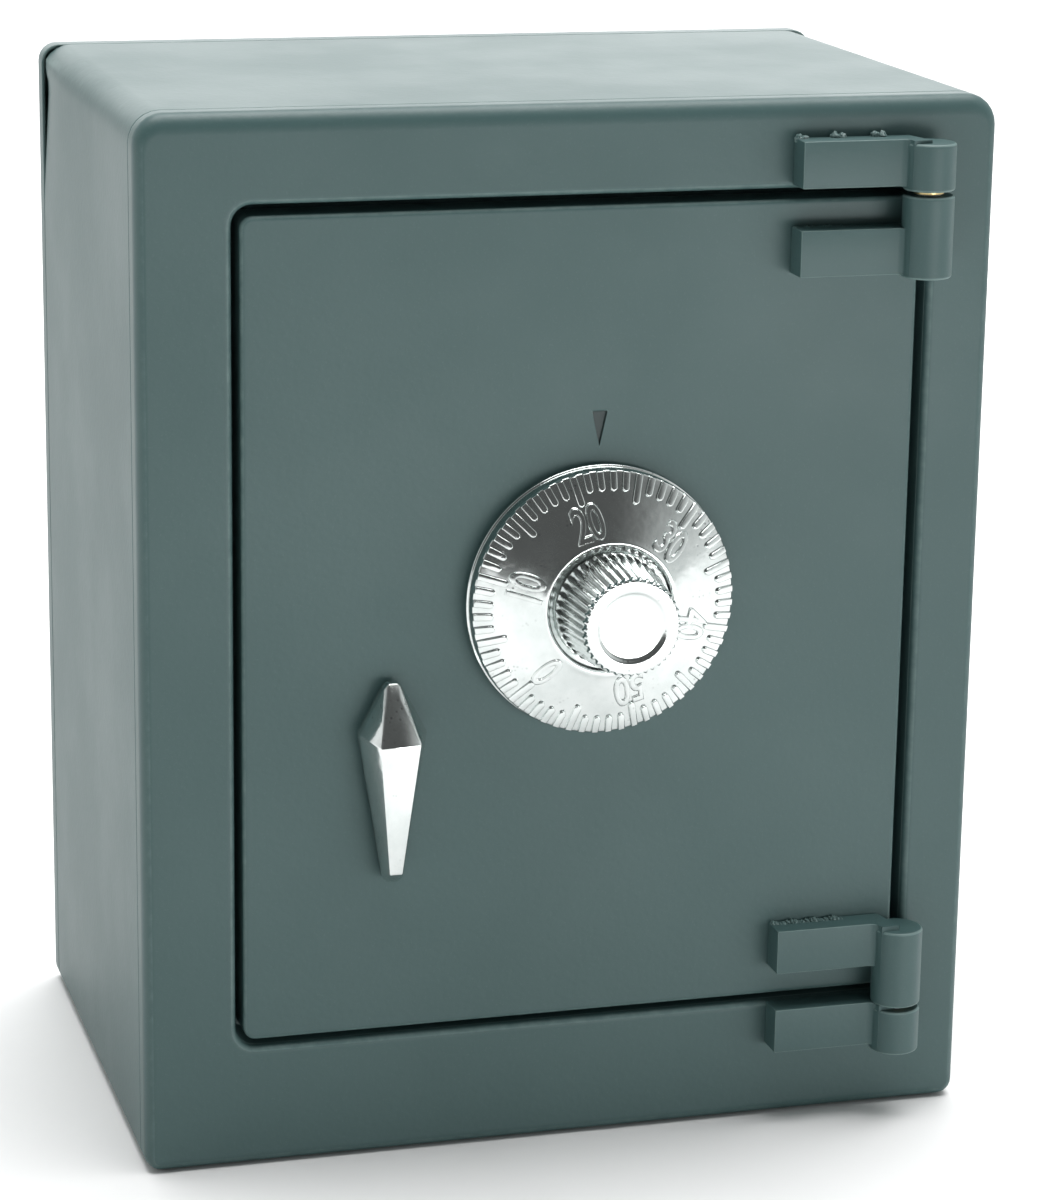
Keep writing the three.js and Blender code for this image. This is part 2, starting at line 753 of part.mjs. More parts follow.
const dialDisc = turned([
  [spindleRadius + seat, dialFront],
  [knobBaseRadius, dialFront],
  [dialRadius - 0.8, dialRimFront],
  [dialRadius, dialRimFront + 0.8],
  [dialRadius, dialBack],
  [spindleRadius + seat, dialBack],
  [spindleRadius + seat, dialFront],
], 40);
const dialKnob = turned([
  [0, knobFront],
  [knobFaceRadius, knobFront],
  [knobRadius, knobBack - 2],
  [knobRadius, knobBack],
  [spindleRadius + seat, knobBack],
  [spindleRadius + seat, knobBack - knobSocket],
  [0, knobBack - knobSocket],
], 24);
const spindleFront = knobBack - knobSocket + seat;
const spindleEnd = caseEnd - 0.7;
const dialSpindle = turned([
  [0, spindleFront],
  [spindleRadius, spindleFront],
  [spindleRadius, spindleEnd],
  [0, spindleEnd],
]);

// A notch cut into the rim of a wheel on its left side, a pin on its front face that
// drives the next wheel, and a pin on its rear face that the wheel behind it drives.
const drivePinRadius = 1.2;
const drivePinCircle = 13;
const drivePinAngle = 2 * Math.asin((2 * drivePinRadius + seat) / 2 / drivePinCircle);

function drivePin(angle, y0, y1) {
  const x = drivePinCircle * Math.cos(angle);
  const z = drivePinCircle * Math.sin(angle);
  return turned([[0, y0], [drivePinRadius, y0], [drivePinRadius, y1], [0, y1]], 8)
    .translate([x, 0, z]);
}

function gate(radius, y0, y1) {
  const geometry = new THREE.BoxGeometry(gateDepth + 2, y1 - y0 + 2, gateWidth);
  geometry.translate(-radius + gateDepth / 2 - 1, (y0 + y1) / 2, 0);
  return solid(geometry);
}

const pinLength = wheelPitch - wheelThickness - seat;

function comboWheel(i) {
  const y0 = wheelStart(i);
  const y1 = y0 + wheelThickness;
  let wheel = ring(postRadius + running, wheelRadius, y0, y1, 24)
    .subtract(gate(wheelRadius, y0, y1));
  const angle = 2 * i * drivePinAngle;
  if (i > 0) wheel = wheel.add(drivePin(angle - drivePinAngle, y0 - pinLength, y0 + 0.5));
  const reach = i < 2 ? pinLength : camStart - y1 - seat;
  return wheel.add(drivePin(angle, y1 - 0.5, y1 + reach));
}

function driveCam() {
  const y1 = camStart + camThickness;
  return ring(spindleRadius + seat, camRadius, camStart, y1, 24)
    .subtract(gate(camRadius, camStart, y1))
    .add(drivePin(5 * drivePinAngle, camStart - 1.1, camStart + 0.5));
}

piece(dialGroup, 'dial', dialDisc, plated);
piece(dialGroup, 'dial_knob', dialKnob, plated);
piece(dialGroup, 'dial_spindle', dialSpindle, bareSteel);
piece(dialGroup, 'drive_cam', driveCam(), brass);
for (let i = 0; i < 3; i += 1) {
  piece(dialGroup, `combination_wheel_${i + 1}`, comboWheel(i), brass);
}

// The lock's own bolt drops out of the bottom of the case in front of a lug on the bar.
const noseBottom = caseBox.z0 + seat;
const leverPivotZ = blockTop - 3.6;
const blockX0 = leverPivotX - 5;

function lockBolt() {
  const nose = { x0: lockBoltX0, x1: lockBoltX1, z0: noseBottom, z1: blockBottom + 1 };
  const head = { x0: blockX0, x1: lockBoltX1, z0: blockBottom, z1: blockTop };
  return block(nose, lockBoltDepth.from, lockBoltDepth.to)
    .add(block(head, lockBoltDepth.from, lockBoltDepth.to))
    .subtract(rodY(leverPivotX, leverPivotZ, screwShank + seat, lockBoltDepth.from + 2, 31, 12));
}

const leverStart = lockBoltDepth.to + 1.7;
const leverThickness = 2.7;
const leverWidth = 6;
const leverAbovePivot = 40;
const leverEye = 4.2;
const noseReach = 2.2;

function fenceLever() {
  const x1 = leverPivotX;
  const arm = {
    x0: x1 - leverWidth,
    x1,
    z0: leverPivotZ,
    z1: leverPivotZ + leverAbovePivot,
  };
  const fence = { x0: x1 - 3.5, x1, z0: dialZ - 6, z1: dialZ + 6 };
  const nose = { x0: x1 - 1, x1: x1 + noseReach - fenceGap, z0: dialZ - 2, z1: dialZ + 2 };
  return block(arm, leverStart, leverStart + leverThickness)
    .add(rodY(leverPivotX, leverPivotZ, leverEye, leverStart, leverStart + leverThickness))
    .add(block(fence, firstWheel, leverStart + 1))
    .add(block(nose, leverStart, leverStart + leverThickness))
    .subtract(rodY(leverPivotX, leverPivotZ, screwShank + running, 20, 40, 16));
}

const springStart = leverStart + leverThickness + seat;
const springHeight = 1.5;

function leverSpring() {
  const coil = ring(screwShank + 0.5, 3.6, springStart, springStart + springHeight, 20)
    .translate([leverPivotX, frontY, leverPivotZ]);
  const leg = {
    x0: leverPivotX - 3.6,
    x1: leverPivotX - 2.6,
    z0: leverPivotZ,
    z1: leverPivotZ + 20,
  };
  return coil.add(block(leg, springStart, springStart + springHeight));
}

const pivotHead = springStart + springHeight + seat;

piece(doorGroup, 'lock_bolt', lockBolt(), brass);
piece(doorGroup, 'lever_pivot_screw', panScrew(pivotHead - lockBoltDepth.from - 3, 3.4, 1.2), bareSteel)
  .position.set(leverPivotX, at(pivotHead), leverPivotZ);
piece(doorGroup, 'fence_lever', fenceLever(), bareSteel);
piece(doorGroup, 'lever_spring', leverSpring(), bareSteel);

// ---- Handle ---------------------------------------------------------------------------

const handleGroup = new THREE.Group();
handleGroup.position.set(handleX, frontY, handleZ);
doorGroup.add(handleGroup);

function handleLever() {
  const w = handleHalfWidth;
  const back = -2.5;
  const shoulder = -6;
  const outline = [
    [0, handleAbovePivot],
    [-w, 0],
    [w, 0],
    [-2.6, -handleBelowPivot],
    [2.6, -handleBelowPivot],
  ];
  const ridge = [
    [-6.2, -1.5, -handleHeight],
    [6.2, -1.5, -handleHeight],
    [-2, 4 - handleBelowPivot, -11],
    [2, 4 - handleBelowPivot, -11],
    [0, handleAbovePivot - 3.5, -8],
  ];
  const points = outline.flatMap(([x, z]) => [
    new THREE.Vector3(x, back, z),
    new THREE.Vector3(x, shoulder, z),
  ]);
  for (const [x, z, y] of ridge) points.push(new THREE.Vector3(x, y, z));
  const boss = turned([[0, back - 1], [7.5, back - 1], [7.5, -seat], [0, -seat]]);
  const socket = turned([
    [0, -seat - handleSocket - seat - 1],
    [handleSpindleRadius + seat, -seat - handleSocket - seat - 1],
    [handleSpindleRadius + seat, 1],
    [0, 1],
  ]);
  return solid(new ConvexGeometry(points)).add(boss).subtract(socket);
}

const handleSpindleFront = -seat - handleSocket - 1;
const handleSpindleEnd = crankStart + crankPlate - seat;
const handleSpindle = turned([
  [0, handleSpindleFront],
  [handleSpindleRadius, handleSpindleFront],
  [handleSpindleRadius, handleSpindleEnd],
  [0, handleSpindleEnd],
]);

const bushFlange = 2;
const handleBush = ring(handleSpindleRadius + running, tubeOuter, doorSkin + seat, workStart + bushFlange)
  .add(ring(handleSpindleRadius + running, 10, workStart, workStart + bushFlange));

// The crank's pin starts to the right of and below the spindle and ends to its left.
function handleCrank() {
  const pinX = boltThrow / 2;
  const hubRadius = 8;
  const arm = new THREE.Shape();
  const tilt = Math.atan2(-pinDrop, pinX);
  const side = Math.PI / 2;
  const eye = crankPinRadius + 2;
  arm.absarc(0, 0, hubRadius, tilt + side, tilt - side + 2 * Math.PI);
  arm.absarc(pinX, -pinDrop, eye, tilt - side, tilt + side);
  const hub = ring(handleSpindleRadius + seat, hubRadius, workStart + bushFlange + seat,
    crankStart + crankPlate);
  const pinEnd = barEnd + seat;
  const pin = turned([
    [0, crankStart + 1],
    [crankPinRadius, crankStart + 1],
    [crankPinRadius, pinEnd],
    [0, pinEnd],
  ]).translate([pinX, 0, -pinDrop]);
  const bore = turned([
    [0, 0],
    [handleSpindleRadius + seat, 0],
    [handleSpindleRadius + seat, barEnd],
    [0, barEnd],
  ]);
  const web = plate(arm, crankStart, crankStart + crankPlate).translate([0, -frontY, 0]);
  return web.subtract(bore).add(hub).add(pin);
}

piece(doorGroup, 'handle_bush', handleBush, brass).position.set(handleX, frontY, handleZ);
piece(handleGroup, 'handle_lever', handleLever(), plated);
piece(handleGroup, 'handle_spindle', handleSpindle, bareSteel);
piece(handleGroup, 'handle_crank', handleCrank(), bareSteel);

// ---- Bolt bar -------------------------------------------------------------------------

const lugRest = lockBoltX1 + 1.5;
const lugWidth = 4;
const lugStart = 26;
const barEar = { z: (boltHeights.middle + boltHeights.upper) / 2, half: 7, reach: 36 };
const guidePlaces = {
  upper: { x: barLeft + 12, z: barEar.z },
  lower: { x: handleX + 22, z: armBottom + armWeb + guideShank + sliding },
};
const boltScrewX = barLeft + barWidth / 2;

function slotAlongX(x0, x1, z, halfHeight) {
  return block({ x0, x1, z0: z - halfHeight, z1: z + halfHeight }, barStart - 1, barEnd + 1);
}

function boltBar() {
  const spine = {
    x0: barLeft,
    x1: barLeft + barWidth,
    z0: boltHeights.lower - 9,
    z1: boltHeights.upper + 9,
  };
  const arm = { x0: barLeft, x1: caseBox.x0 - boltThrow / 2, z0: armBottom, z1: armTop };
  const underCase = {
    x0: arm.x1 - 1,
    x1: lugRest + lugWidth,
    z0: armBottom,
    z1: caseBox.z0 - sliding,
  };
  const ear = {
    x0: barLeft,
    x1: barLeft + barEar.reach,
    z0: barEar.z - barEar.half,
    z1: barEar.z + barEar.half,
  };
  const lug = {
    x0: lugRest,
    x1: lugRest + lugWidth,
    z0: armBottom + 3,
    z1: caseBox.z0 - 1.5,
  };
  const pinX = handleX + boltThrow / 2;
  const pinSlot = {
    x0: pinX - crankPinRadius - sliding,
    x1: pinX + crankPinRadius + sliding,
    z0: pinSlotBottom,
    z1: pinSlotTop,
  };
  let bar = block(spine, barStart, barEnd)
    .add(block(arm, barStart, barEnd))
    .add(block(underCase, barStart, barEnd))
    .add(block(ear, barStart, barEnd))
    .add(block(lug, lugStart, barEnd))
    .subtract(block(pinSlot, barStart - 1, barEnd + 1));
  for (const { x, z } of Object.values(guidePlaces)) {
    const half = guideShank + sliding;
    bar = bar.subtract(slotAlongX(x - half, x + half + boltThrow, z, half));
  }
  for (const z of Object.values(boltHeights)) {
    bar = bar.subtract(rodY(boltScrewX, z, screwShank + seat, barStart - 1, barEnd + 1, 12));
  }
  return bar;
}

function lockingBolt(z) {
  const nose = 1.5;
  const profile = [
    [0, -boltLength],
    [boltRadius, -boltLength],
    [boltRadius, -nose],
    [boltRadius - nose, 0],
    [0, 0],
  ];
  const body = turned(profile).rotate([0, 0, 90]).translate([boltTip, at(boltDepth), z]);
  return body.subtract(rodY(boltScrewX, z, screwShank + seat, boltDepth - 3, barStart, 12));
}

const boltBarGroup = new THREE.Group();
doorGroup.add(boltBarGroup);
piece(boltBarGroup, 'bolt_bar', boltBar(), bareSteel);
for (const [name, z] of Object.entries(boltHeights)) {
  piece(boltBarGroup, `locking_bolt_${name}`, lockingBolt(z), plated);
  piece(boltBarGroup, `locking_bolt_screw_${name}`, panScrew(barEnd + seat - boltDepth + 2, 3.6, 1.6),
    zincSheet).position.set(boltScrewX, at(barEnd + seat), z);
}

// Shouldered studs that the bar slides on.
function guideStud() {
  return turned([
    [0, workStart],
    [guideHead, workStart],
    [guideHead, barStart - seat],
    [guideShank, barStart - seat],
    [guideShank, barEnd + seat],
    [guideHead, barEnd + seat],
    [guideHead, barEnd + seat + 1.5],
    [0, barEnd + seat + 1.5],
  ]);
}
for (const [name, { x, z }] of Object.entries(guidePlaces)) {
  piece(doorGroup, `bar_guide_stud_${name}`, guideStud(), bareSteel).position.set(x, frontY, z);
}

export default safe;
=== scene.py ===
import json
import math

import bmesh
import bpy
from mathutils import Matrix, Vector


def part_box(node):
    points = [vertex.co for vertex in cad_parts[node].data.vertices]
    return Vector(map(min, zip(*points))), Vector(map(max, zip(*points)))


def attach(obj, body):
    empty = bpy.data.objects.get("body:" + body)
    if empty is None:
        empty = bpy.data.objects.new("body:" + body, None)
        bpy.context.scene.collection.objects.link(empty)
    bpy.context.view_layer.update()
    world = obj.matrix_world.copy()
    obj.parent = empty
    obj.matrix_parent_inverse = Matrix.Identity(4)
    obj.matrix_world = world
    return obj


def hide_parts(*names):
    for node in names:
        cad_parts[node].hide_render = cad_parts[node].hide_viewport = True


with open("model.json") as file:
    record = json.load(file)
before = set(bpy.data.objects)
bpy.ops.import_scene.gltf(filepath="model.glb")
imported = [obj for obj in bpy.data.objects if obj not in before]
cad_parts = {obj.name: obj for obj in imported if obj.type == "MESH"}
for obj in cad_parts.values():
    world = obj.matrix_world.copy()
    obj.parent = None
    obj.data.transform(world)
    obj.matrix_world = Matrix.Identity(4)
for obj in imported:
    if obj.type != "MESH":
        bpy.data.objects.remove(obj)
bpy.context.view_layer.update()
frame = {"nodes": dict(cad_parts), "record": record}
mm = 0.001

# camera first: left of the door, above the case's top and looking down a little
cameraSpec = {
    "place": (-0.32535, -1.1682, 0.4825),
    "turn": 15.964,   # degrees to the right of straight ahead
    "dip": 15.161,
    "roll": 0.822,
    "lens": 113.2,
}


def makeCamera(spec):
    turn, dip, roll = (math.radians(spec[k]) for k in ("turn", "dip", "roll"))
    ahead = Vector((math.sin(turn) * math.cos(dip), math.cos(turn) * math.cos(dip), -math.sin(dip)))
    right = Vector((math.cos(turn), -math.sin(turn), 0))
    up = right.cross(ahead)
    across = math.cos(roll) * right + math.sin(roll) * up
    upright = -math.sin(roll) * right + math.cos(roll) * up
    data = bpy.data.cameras.new("camera")
    data.lens = spec["lens"]
    camera = bpy.data.objects.new("camera", data)
    facing = Matrix((across, upright, -ahead)).transposed().to_4x4()
    camera.matrix_world = Matrix.Translation(spec["place"]) @ facing
    bpy.context.scene.collection.objects.link(camera)
    bpy.context.scene.camera = camera


makeCamera(cameraSpec)
print("camera placed")


def newGroup(name, inputs, outputs):
    group = bpy.data.node_groups.new(name, "ShaderNodeTree")
    kind = "NodeSocketFloat"
    for socketName, value in inputs:
        socket = group.interface.new_socket(name=socketName, in_out="INPUT", socket_type=kind)
        socket.default_value = value
    for socketName in outputs:
        group.interface.new_socket(name=socketName, in_out="OUTPUT", socket_type=kind)
    start = group.nodes.new("NodeGroupInput")
    end = group.nodes.new("NodeGroupOutput")
    return group, start, end


def addNode(tree, kind, **settings):
    node = tree.nodes.new(kind)
    for key, value in settings.items():
        setattr(node, key, value)
    return node


def feed(tree, node, **values):
    for key, value in values.items():
        socket = node.inputs[int(key[1:])] if key[0] == "i" and key[1:].isdigit() else node.inputs[key]
        if isinstance(value, bpy.types.NodeSocket):
            tree.links.new(value, socket)
        else:
            socket.default_value = value
    return node


def mathNode(tree, operation, first, second=0.0, clamp=False):
    node = addNode(tree, "ShaderNodeMath", operation=operation, use_clamp=clamp)
    feed(tree, node, i0=first, i1=second)
    return node.outputs[0]


def spread(tree, value, low, high, outLow=0.0, outHigh=1.0):
    node = addNode(tree, "ShaderNodeMapRange", interpolation_type="SMOOTHSTEP")
    feed(tree, node, i0=value, i1=low, i2=high, i3=outLow, i4=outHigh)
    return node.outputs[0]


def noiseAt(tree, vector, scale, detail=3.0, rough=0.5):
    node = addNode(tree, "ShaderNodeTexNoise")
    feed(tree, node, Vector=vector, Scale=scale, Detail=detail, Roughness=rough)
    return node.outputs["Fac"]


def orangePeelGroup():
    group, start, end = newGroup("orange peel", [("Size", 420.0), ("Ripple", 0.5)], ["Height"])
    where = addNode(group, "ShaderNodeTexCoord").outputs["Object"]
    cells = addNode(group, "ShaderNodeTexVoronoi", feature="SMOOTH_F1")
    feed(group, cells, Vector=where, Scale=start.outputs["Size"], Smoothness=1.0)
    fine = noiseAt(group, where, start.outputs["Size"], 2.0)
    broad = noiseAt(group, where, 60.0, 2.0)
    mixed = mathNode(group, "ADD", mathNode(group, "MULTIPLY", cells.outputs["Distance"], 0.6), fine)
    swelling = mathNode(group, "MULTIPLY", broad, start.outputs["Ripple"])
    feed(group, end, Height=mathNode(group, "ADD", mixed, swelling))
    return group


def mottleGroup():
    group, start, end = newGroup("mottle", [("Size", 14.0), ("Fine", 900.0)], ["Clouds", "Specks"])
    where = addNode(group, "ShaderNodeTexCoord").outputs["Object"]
    clouds = noiseAt(group, where, start.outputs["Size"], 5.0, 0.62)
    grit = noiseAt(group, where, start.outputs["Fine"], 2.0)
    feed(group, end, Clouds=spread(group, clouds, 0.3, 0.7), Specks=spread(group, grit, 0.60, 0.74))
    return group


# lightens convex edges: on the paint this is a painted highlight, on bare metal it is rubbed edges
def edgeWearGroup():
    group, start, end = newGroup("edge worn and highlit", [("Reach", 0.5), ("Breakup", 260.0)], ["Wear"])
    where = addNode(group, "ShaderNodeTexCoord").outputs["Object"]
    edge = addNode(group, "ShaderNodeAttribute", attribute_name="edge").outputs["Fac"]
    broken = noiseAt(group, where, start.outputs["Breakup"], 4.0, 0.6)
    ragged = mathNode(group, "MULTIPLY", mathNode(group, "SUBTRACT", broken, 0.5), 0.4)
    total = mathNode(group, "ADD", edge, ragged)
    limit = mathNode(group, "SUBTRACT", 1.0, start.outputs["Reach"])
    feed(group, end, Wear=spread(group, total, limit, mathNode(group, "ADD", limit, 0.45)))
    return group


def toolMarksGroup():
    names = [("Along X", 1.0), ("Along Y", 1.0), ("Along Z", 1.0), ("Size", 900.0)]
    group, start, end = newGroup("tool marks", names, ["Lines", "Height"])
    where = addNode(group, "ShaderNodeTexCoord").outputs["Object"]
    stretch = addNode(group, "ShaderNodeCombineXYZ")
    for axis in "XYZ":
        group.links.new(start.outputs[f"Along {axis}"], stretch.inputs[axis])
    scaled = addNode(group, "ShaderNodeVectorMath", operation="MULTIPLY")
    feed(group, scaled, i0=where, i1=stretch.outputs[0])
    lines = noiseAt(group, scaled.outputs[0], start.outputs["Size"], 4.0, 0.65)
    feed(group, end, Lines=spread(group, lines, 0.35, 0.68), Height=lines)
    return group


def castingPitsGroup():
    group, start, end = newGroup("casting pits", [("Size", 700.0), ("Amount", 0.3)], ["Pits", "Waves"])
    where = addNode(group, "ShaderNodeTexCoord").outputs["Object"]
    cells = addNode(group, "ShaderNodeTexVoronoi", feature="F1")
    feed(group, cells, Vector=where, Scale=start.outputs["Size"])
    dots = spread(group, cells.outputs["Distance"], 0.32, 0.14)
    chance = noiseAt(group, where, 90.0, 3.0)
    picked = spread(group, chance, mathNode(group, "SUBTRACT", 0.8, start.outputs["Amount"]), 0.75)
    waves = noiseAt(group, where, 170.0, 2.0)
    feed(group, end, Pits=mathNode(group, "MULTIPLY", dots, picked), Waves=waves)
    return group


groups = {
    "orangePeel": orangePeelGroup(),
    "mottle": mottleGroup(),
    "edgeWornAndHighlit": edgeWearGroup(),
    "toolMarks": toolMarksGroup(),
    "castingPits": castingPitsGroup(),
}


def useGroup(tree, name, **values):
    node = addNode(tree, "ShaderNodeGroup", node_tree=groups[name])
    for key, value in values.items():
        node.inputs[key.replace("_", " ")].default_value = value
    return node


def newMaterial(name, **constants):
    material = bpy.data.materials.new(name)
    material.use_nodes = True
    shader = material.node_tree.nodes["Principled BSDF"]
    for key, value in constants.items():
        shader.inputs[key.replace("_", " ")].default_value = value
    return material, material.node_tree, shader


def blendColours(tree, factor, first, second):
    node = addNode(tree, "ShaderNodeMix", data_type="RGBA")
    feed(tree, node, i0=factor, i6=first, i7=second)
    return node.outputs[2]


def bump(tree, height, strength, distance, under=None):
    node = addNode(tree, "ShaderNodeBump")
    feed(tree, node, Height=height, Strength=strength, Distance=distance)
    if under:
        tree.links.new(under, node.inputs["Normal"])
    return node.outputs["Normal"]


paintSpec = {
    "name": "satin enamel",
    "colour": (0.047, 0.095, 0.094, 1),
    "shade": (0.043, 0.089, 0.088, 1),
    # painted highlight: a lighter colour laid along the paint's rounded edges
    "painted_edge_highlight": (0.150, 0.220, 0.212, 1),
    "speck": (0.088, 0.142, 0.138, 1),
    # painted shade: a darker colour laid in the sunken index V
    "painted_recess_shade": (0.016, 0.030, 0.030, 1),
    "rough": (0.46, 0.51),
    "peel": 520.0,
    "peelDepth": 0.16,
}


def paintMaterial(spec):
    material, tree, shader = newMaterial(spec["name"], IOR=1.48)
    mottle = useGroup(tree, "mottle", Size=9.0, Fine=1500.0)
    wornAndHighlitEdges = useGroup(tree, "edgeWornAndHighlit", Reach=0.42, Breakup=240.0)
    peel = useGroup(tree, "orangePeel", Size=spec["peel"], Ripple=1.4)
    colour = blendColours(tree, mottle.outputs["Clouds"], spec["shade"], spec["colour"])
    specked = mathNode(tree, "MULTIPLY", mottle.outputs["Specks"], 0.22)
    colour = blendColours(tree, specked, colour, spec["speck"])
    # painted highlight: lighter colour along the rounded edges
    colour = blendColours(tree, mathNode(tree, "MULTIPLY", wornAndHighlitEdges.outputs[0], 0.70), colour, spec["painted_edge_highlight"])
    # painted shade: darker colour in the sunken index V
    painted_recess_shade = addNode(tree, "ShaderNodeAttribute", attribute_name="painted_recess_shade").outputs["Fac"]
    colour = blendColours(tree, mathNode(tree, "MULTIPLY", painted_recess_shade, 0.85), colour, spec["painted_recess_shade"])
    rough = spread(tree, mottle.outputs["Clouds"], 0.0, 1.0, spec["rough"][1], spec["rough"][0])
    feed(tree, shader, **{"Base Color": colour, "Roughness": rough})
    feed(tree, shader, Normal=bump(tree, peel.outputs["Height"], spec["peelDepth"], 0.3 * mm))
    return material


platedSpec = {
    "name": "bright plating",
    "colour": (0.76, 0.79, 0.78, 1),
    "dull": (0.63, 0.67, 0.66, 1),
    "pit": (0.20, 0.22, 0.22, 1),
    "rough": (0.10, 0.20),
}


def platedMaterial(spec):
    material, tree, shader = newMaterial(spec["name"], Metallic=1.0)
    pits = useGroup(tree, "castingPits", Size=620.0, Amount=0.30)
    mottle = useGroup(tree, "mottle", Size=70.0, Fine=2600.0)
    colour = blendColours(tree, mottle.outputs["Clouds"], spec["dull"], spec["colour"])
    pitted = mathNode(tree, "MULTIPLY", pits.outputs["Pits"], 0.65)
    colour = blendColours(tree, pitted, colour, spec["pit"])
    rough = spread(tree, mottle.outputs["Clouds"], 0.0, 1.0, spec["rough"][1], spec["rough"][0])
    waves = bump(tree, pits.outputs["Waves"], 0.35, 0.35 * mm)
    surface = bump(tree, mathNode(tree, "SUBTRACT", 1.0, pits.outputs["Pits"]), 0.35, 0.08 * mm, waves)
    feed(tree, shader, **{"Base Color": colour, "Roughness": rough, "Normal": surface})
    return material


metalSpecs = {   # stretch packs the tool marks closer along an axis, so that they run across it
    "steel": {
        "name": "machined steel",
        "bright": (0.56, 0.57, 0.58, 1),
        "dull": (0.36, 0.37, 0.38, 1),
        "rough": (0.24, 0.42),
        "stretch": (1, 1, 14),
        "grain": 900.0,
    },
    "zinc": {
        "name": "zinc plate",
        "bright": (0.70, 0.72, 0.74, 1),
        "dull": (0.50, 0.53, 0.54, 1),
        "rough": (0.26, 0.44),
        "stretch": (3, 3, 3),
        "grain": 500.0,
    },
    "brass": {
        "name": "turned brass",
        "bright": (0.74, 0.60, 0.30, 1),
        "dull": (0.52, 0.40, 0.18, 1),
        "rough": (0.20, 0.40),
        "stretch": (1, 18, 1),
        "grain": 900.0,
    },
}


def metalMaterial(spec):
    material, tree, shader = newMaterial(spec["name"], Metallic=1.0)
    bright, dull = spec["bright"], spec["dull"]
    alongX, alongY, alongZ = spec["stretch"]
    marks = useGroup(tree, "toolMarks", Along_X=alongX, Along_Y=alongY, Along_Z=alongZ, Size=spec["grain"])
    mottle = useGroup(tree, "mottle", Size=55.0, Fine=1900.0)
    # here the edge mask stands for rubbed, brighter metal along the edges
    wornAndHighlitEdges = useGroup(tree, "edgeWornAndHighlit", Reach=0.5, Breakup=300.0)
    colour = blendColours(tree, mottle.outputs["Clouds"], dull, bright)
    colour = blendColours(tree, mathNode(tree, "MULTIPLY", marks.outputs["Lines"], 0.35), colour, dull)
    colour = blendColours(tree, mathNode(tree, "MULTIPLY", wornAndHighlitEdges.outputs[0], 0.5), colour, bright)
    texture = mathNode(tree, "MULTIPLY", marks.outputs["Lines"], 0.5)
    streaks = mathNode(tree, "ADD", mathNode(tree, "MULTIPLY", mottle.outputs["Clouds"], 0.5), texture)
    roughness = spread(tree, streaks, 0.0, 1.0, *spec["rough"])
    height = bump(tree, marks.outputs["Height"], 0.25, 0.06 * mm)
    feed(tree, shader, **{"Base Color": colour, "Roughness": roughness, "Normal": height})
    return material


softSpecs = {
    "fire_fill": {
        "name": "mineral fill",
        "light": (0.70, 0.67, 0.60, 1),
        "dark": (0.52, 0.49, 0.43, 1),
        "rough": (0.85, 0.97),
        "size": 30,
        "depth": 0.6,
        "distance": 0.8 * mm,
    },
    "seal": {
        "name": "seal rubber",
        "light": (0.030, 0.031, 0.032, 1),
        "dark": (0.016, 0.016, 0.017, 1),
        "rough": (0.55, 0.75),
        "size": 40,
        "depth": 0.3,
        "distance": 0.2 * mm,
    },
}


def softMaterial(spec):
    material, tree, shader = newMaterial(spec["name"])
    mottle = useGroup(tree, "mottle", Size=spec["size"], Fine=spec["size"] * 40)
    peel = useGroup(tree, "orangePeel", Size=spec["size"] * 30, Ripple=0.8)
    colour = blendColours(tree, mottle.outputs["Clouds"], spec["dark"], spec["light"])
    specked = mathNode(tree, "MULTIPLY", mottle.outputs["Specks"], 0.35)
    colour = blendColours(tree, specked, colour, spec["dark"])
    roughness = spread(tree, mottle.outputs["Clouds"], 0.0, 1.0, *spec["rough"])
    height = bump(tree, peel.outputs["Height"], spec["depth"], spec["distance"])
    feed(tree, shader, **{"Base Color": colour, "Roughness": roughness, "Normal": height})
    return material


materials = {"paint": paintMaterial(paintSpec), "plated": platedMaterial(platedSpec)}
for slotName, spec in metalSpecs.items():
    materials[slotName] = metalMaterial(spec)
for slotName, spec in softSpecs.items():
    materials[slotName] = softMaterial(spec)
print("materials made")


def grown(box, amount):
    left, right, bottom, top = amount if isinstance(amount, tuple) else (amount,) * 4
    return (box[0] - left, box[1] + right, box[2] - bottom, box[3] + top)


def frontBox(node):
    low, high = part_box(node)
    return (low.x, high.x, low.z, high.z)


def frontCentre(node):
    x0, x1, z0, z1 = frontBox(node)
    return (x0 + x1) / 2, (z0 + z1) / 2


def depths(node):   # where the node starts and ends behind the case's front, in millimetres
    return [(corner.y - frontY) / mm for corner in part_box(node)]


def newEdges(bm, before):
    return [e for e in bm.edges if e not in before]


def bevel(bm, geom, width, steps, affect, **more):
    bmesh.ops.bevel(bm, geom=geom, offset=width, segments=steps, profile=0.5, affect=affect,
                    material=-1, **more)


def takeMesh(bm, name):
    mesh = bpy.data.meshes.new(name)
    bm.to_mesh(mesh)
    bm.free()
    return mesh


def ring(bm, box, radii, y, steps=6):
    x0, x1, z0, z1 = box
    before = set(bm.edges)
    low = [bm.verts.new((x0, y, z0)), bm.verts.new((x1, y, z0))]
    high = [bm.verts.new((x1, y, z1)), bm.verts.new((x0, y, z1))]
    bm.faces.new(low + high)
    for corners, radius in ((low, radii[0]), (high, radii[1])):
        bevel(bm, corners, max(radius, 0.05 * mm), steps, "VERTICES")
    loop = newEdges(bm, before)
    faces = list({f for e in loop for f in e.link_faces})
    bmesh.ops.delete(bm, geom=faces, context="FACES_ONLY")
    return loop


def circle(bm, x, y, z, radius, segments=32):
    before = set(bm.edges)
    place = Matrix.Translation((x, y, z)) @ Matrix.Rotation(math.radians(90), 4, "X")
    bmesh.ops.create_circle(bm, cap_ends=False, radius=radius, segments=segments, matrix=place)
    return newEdges(bm, before)


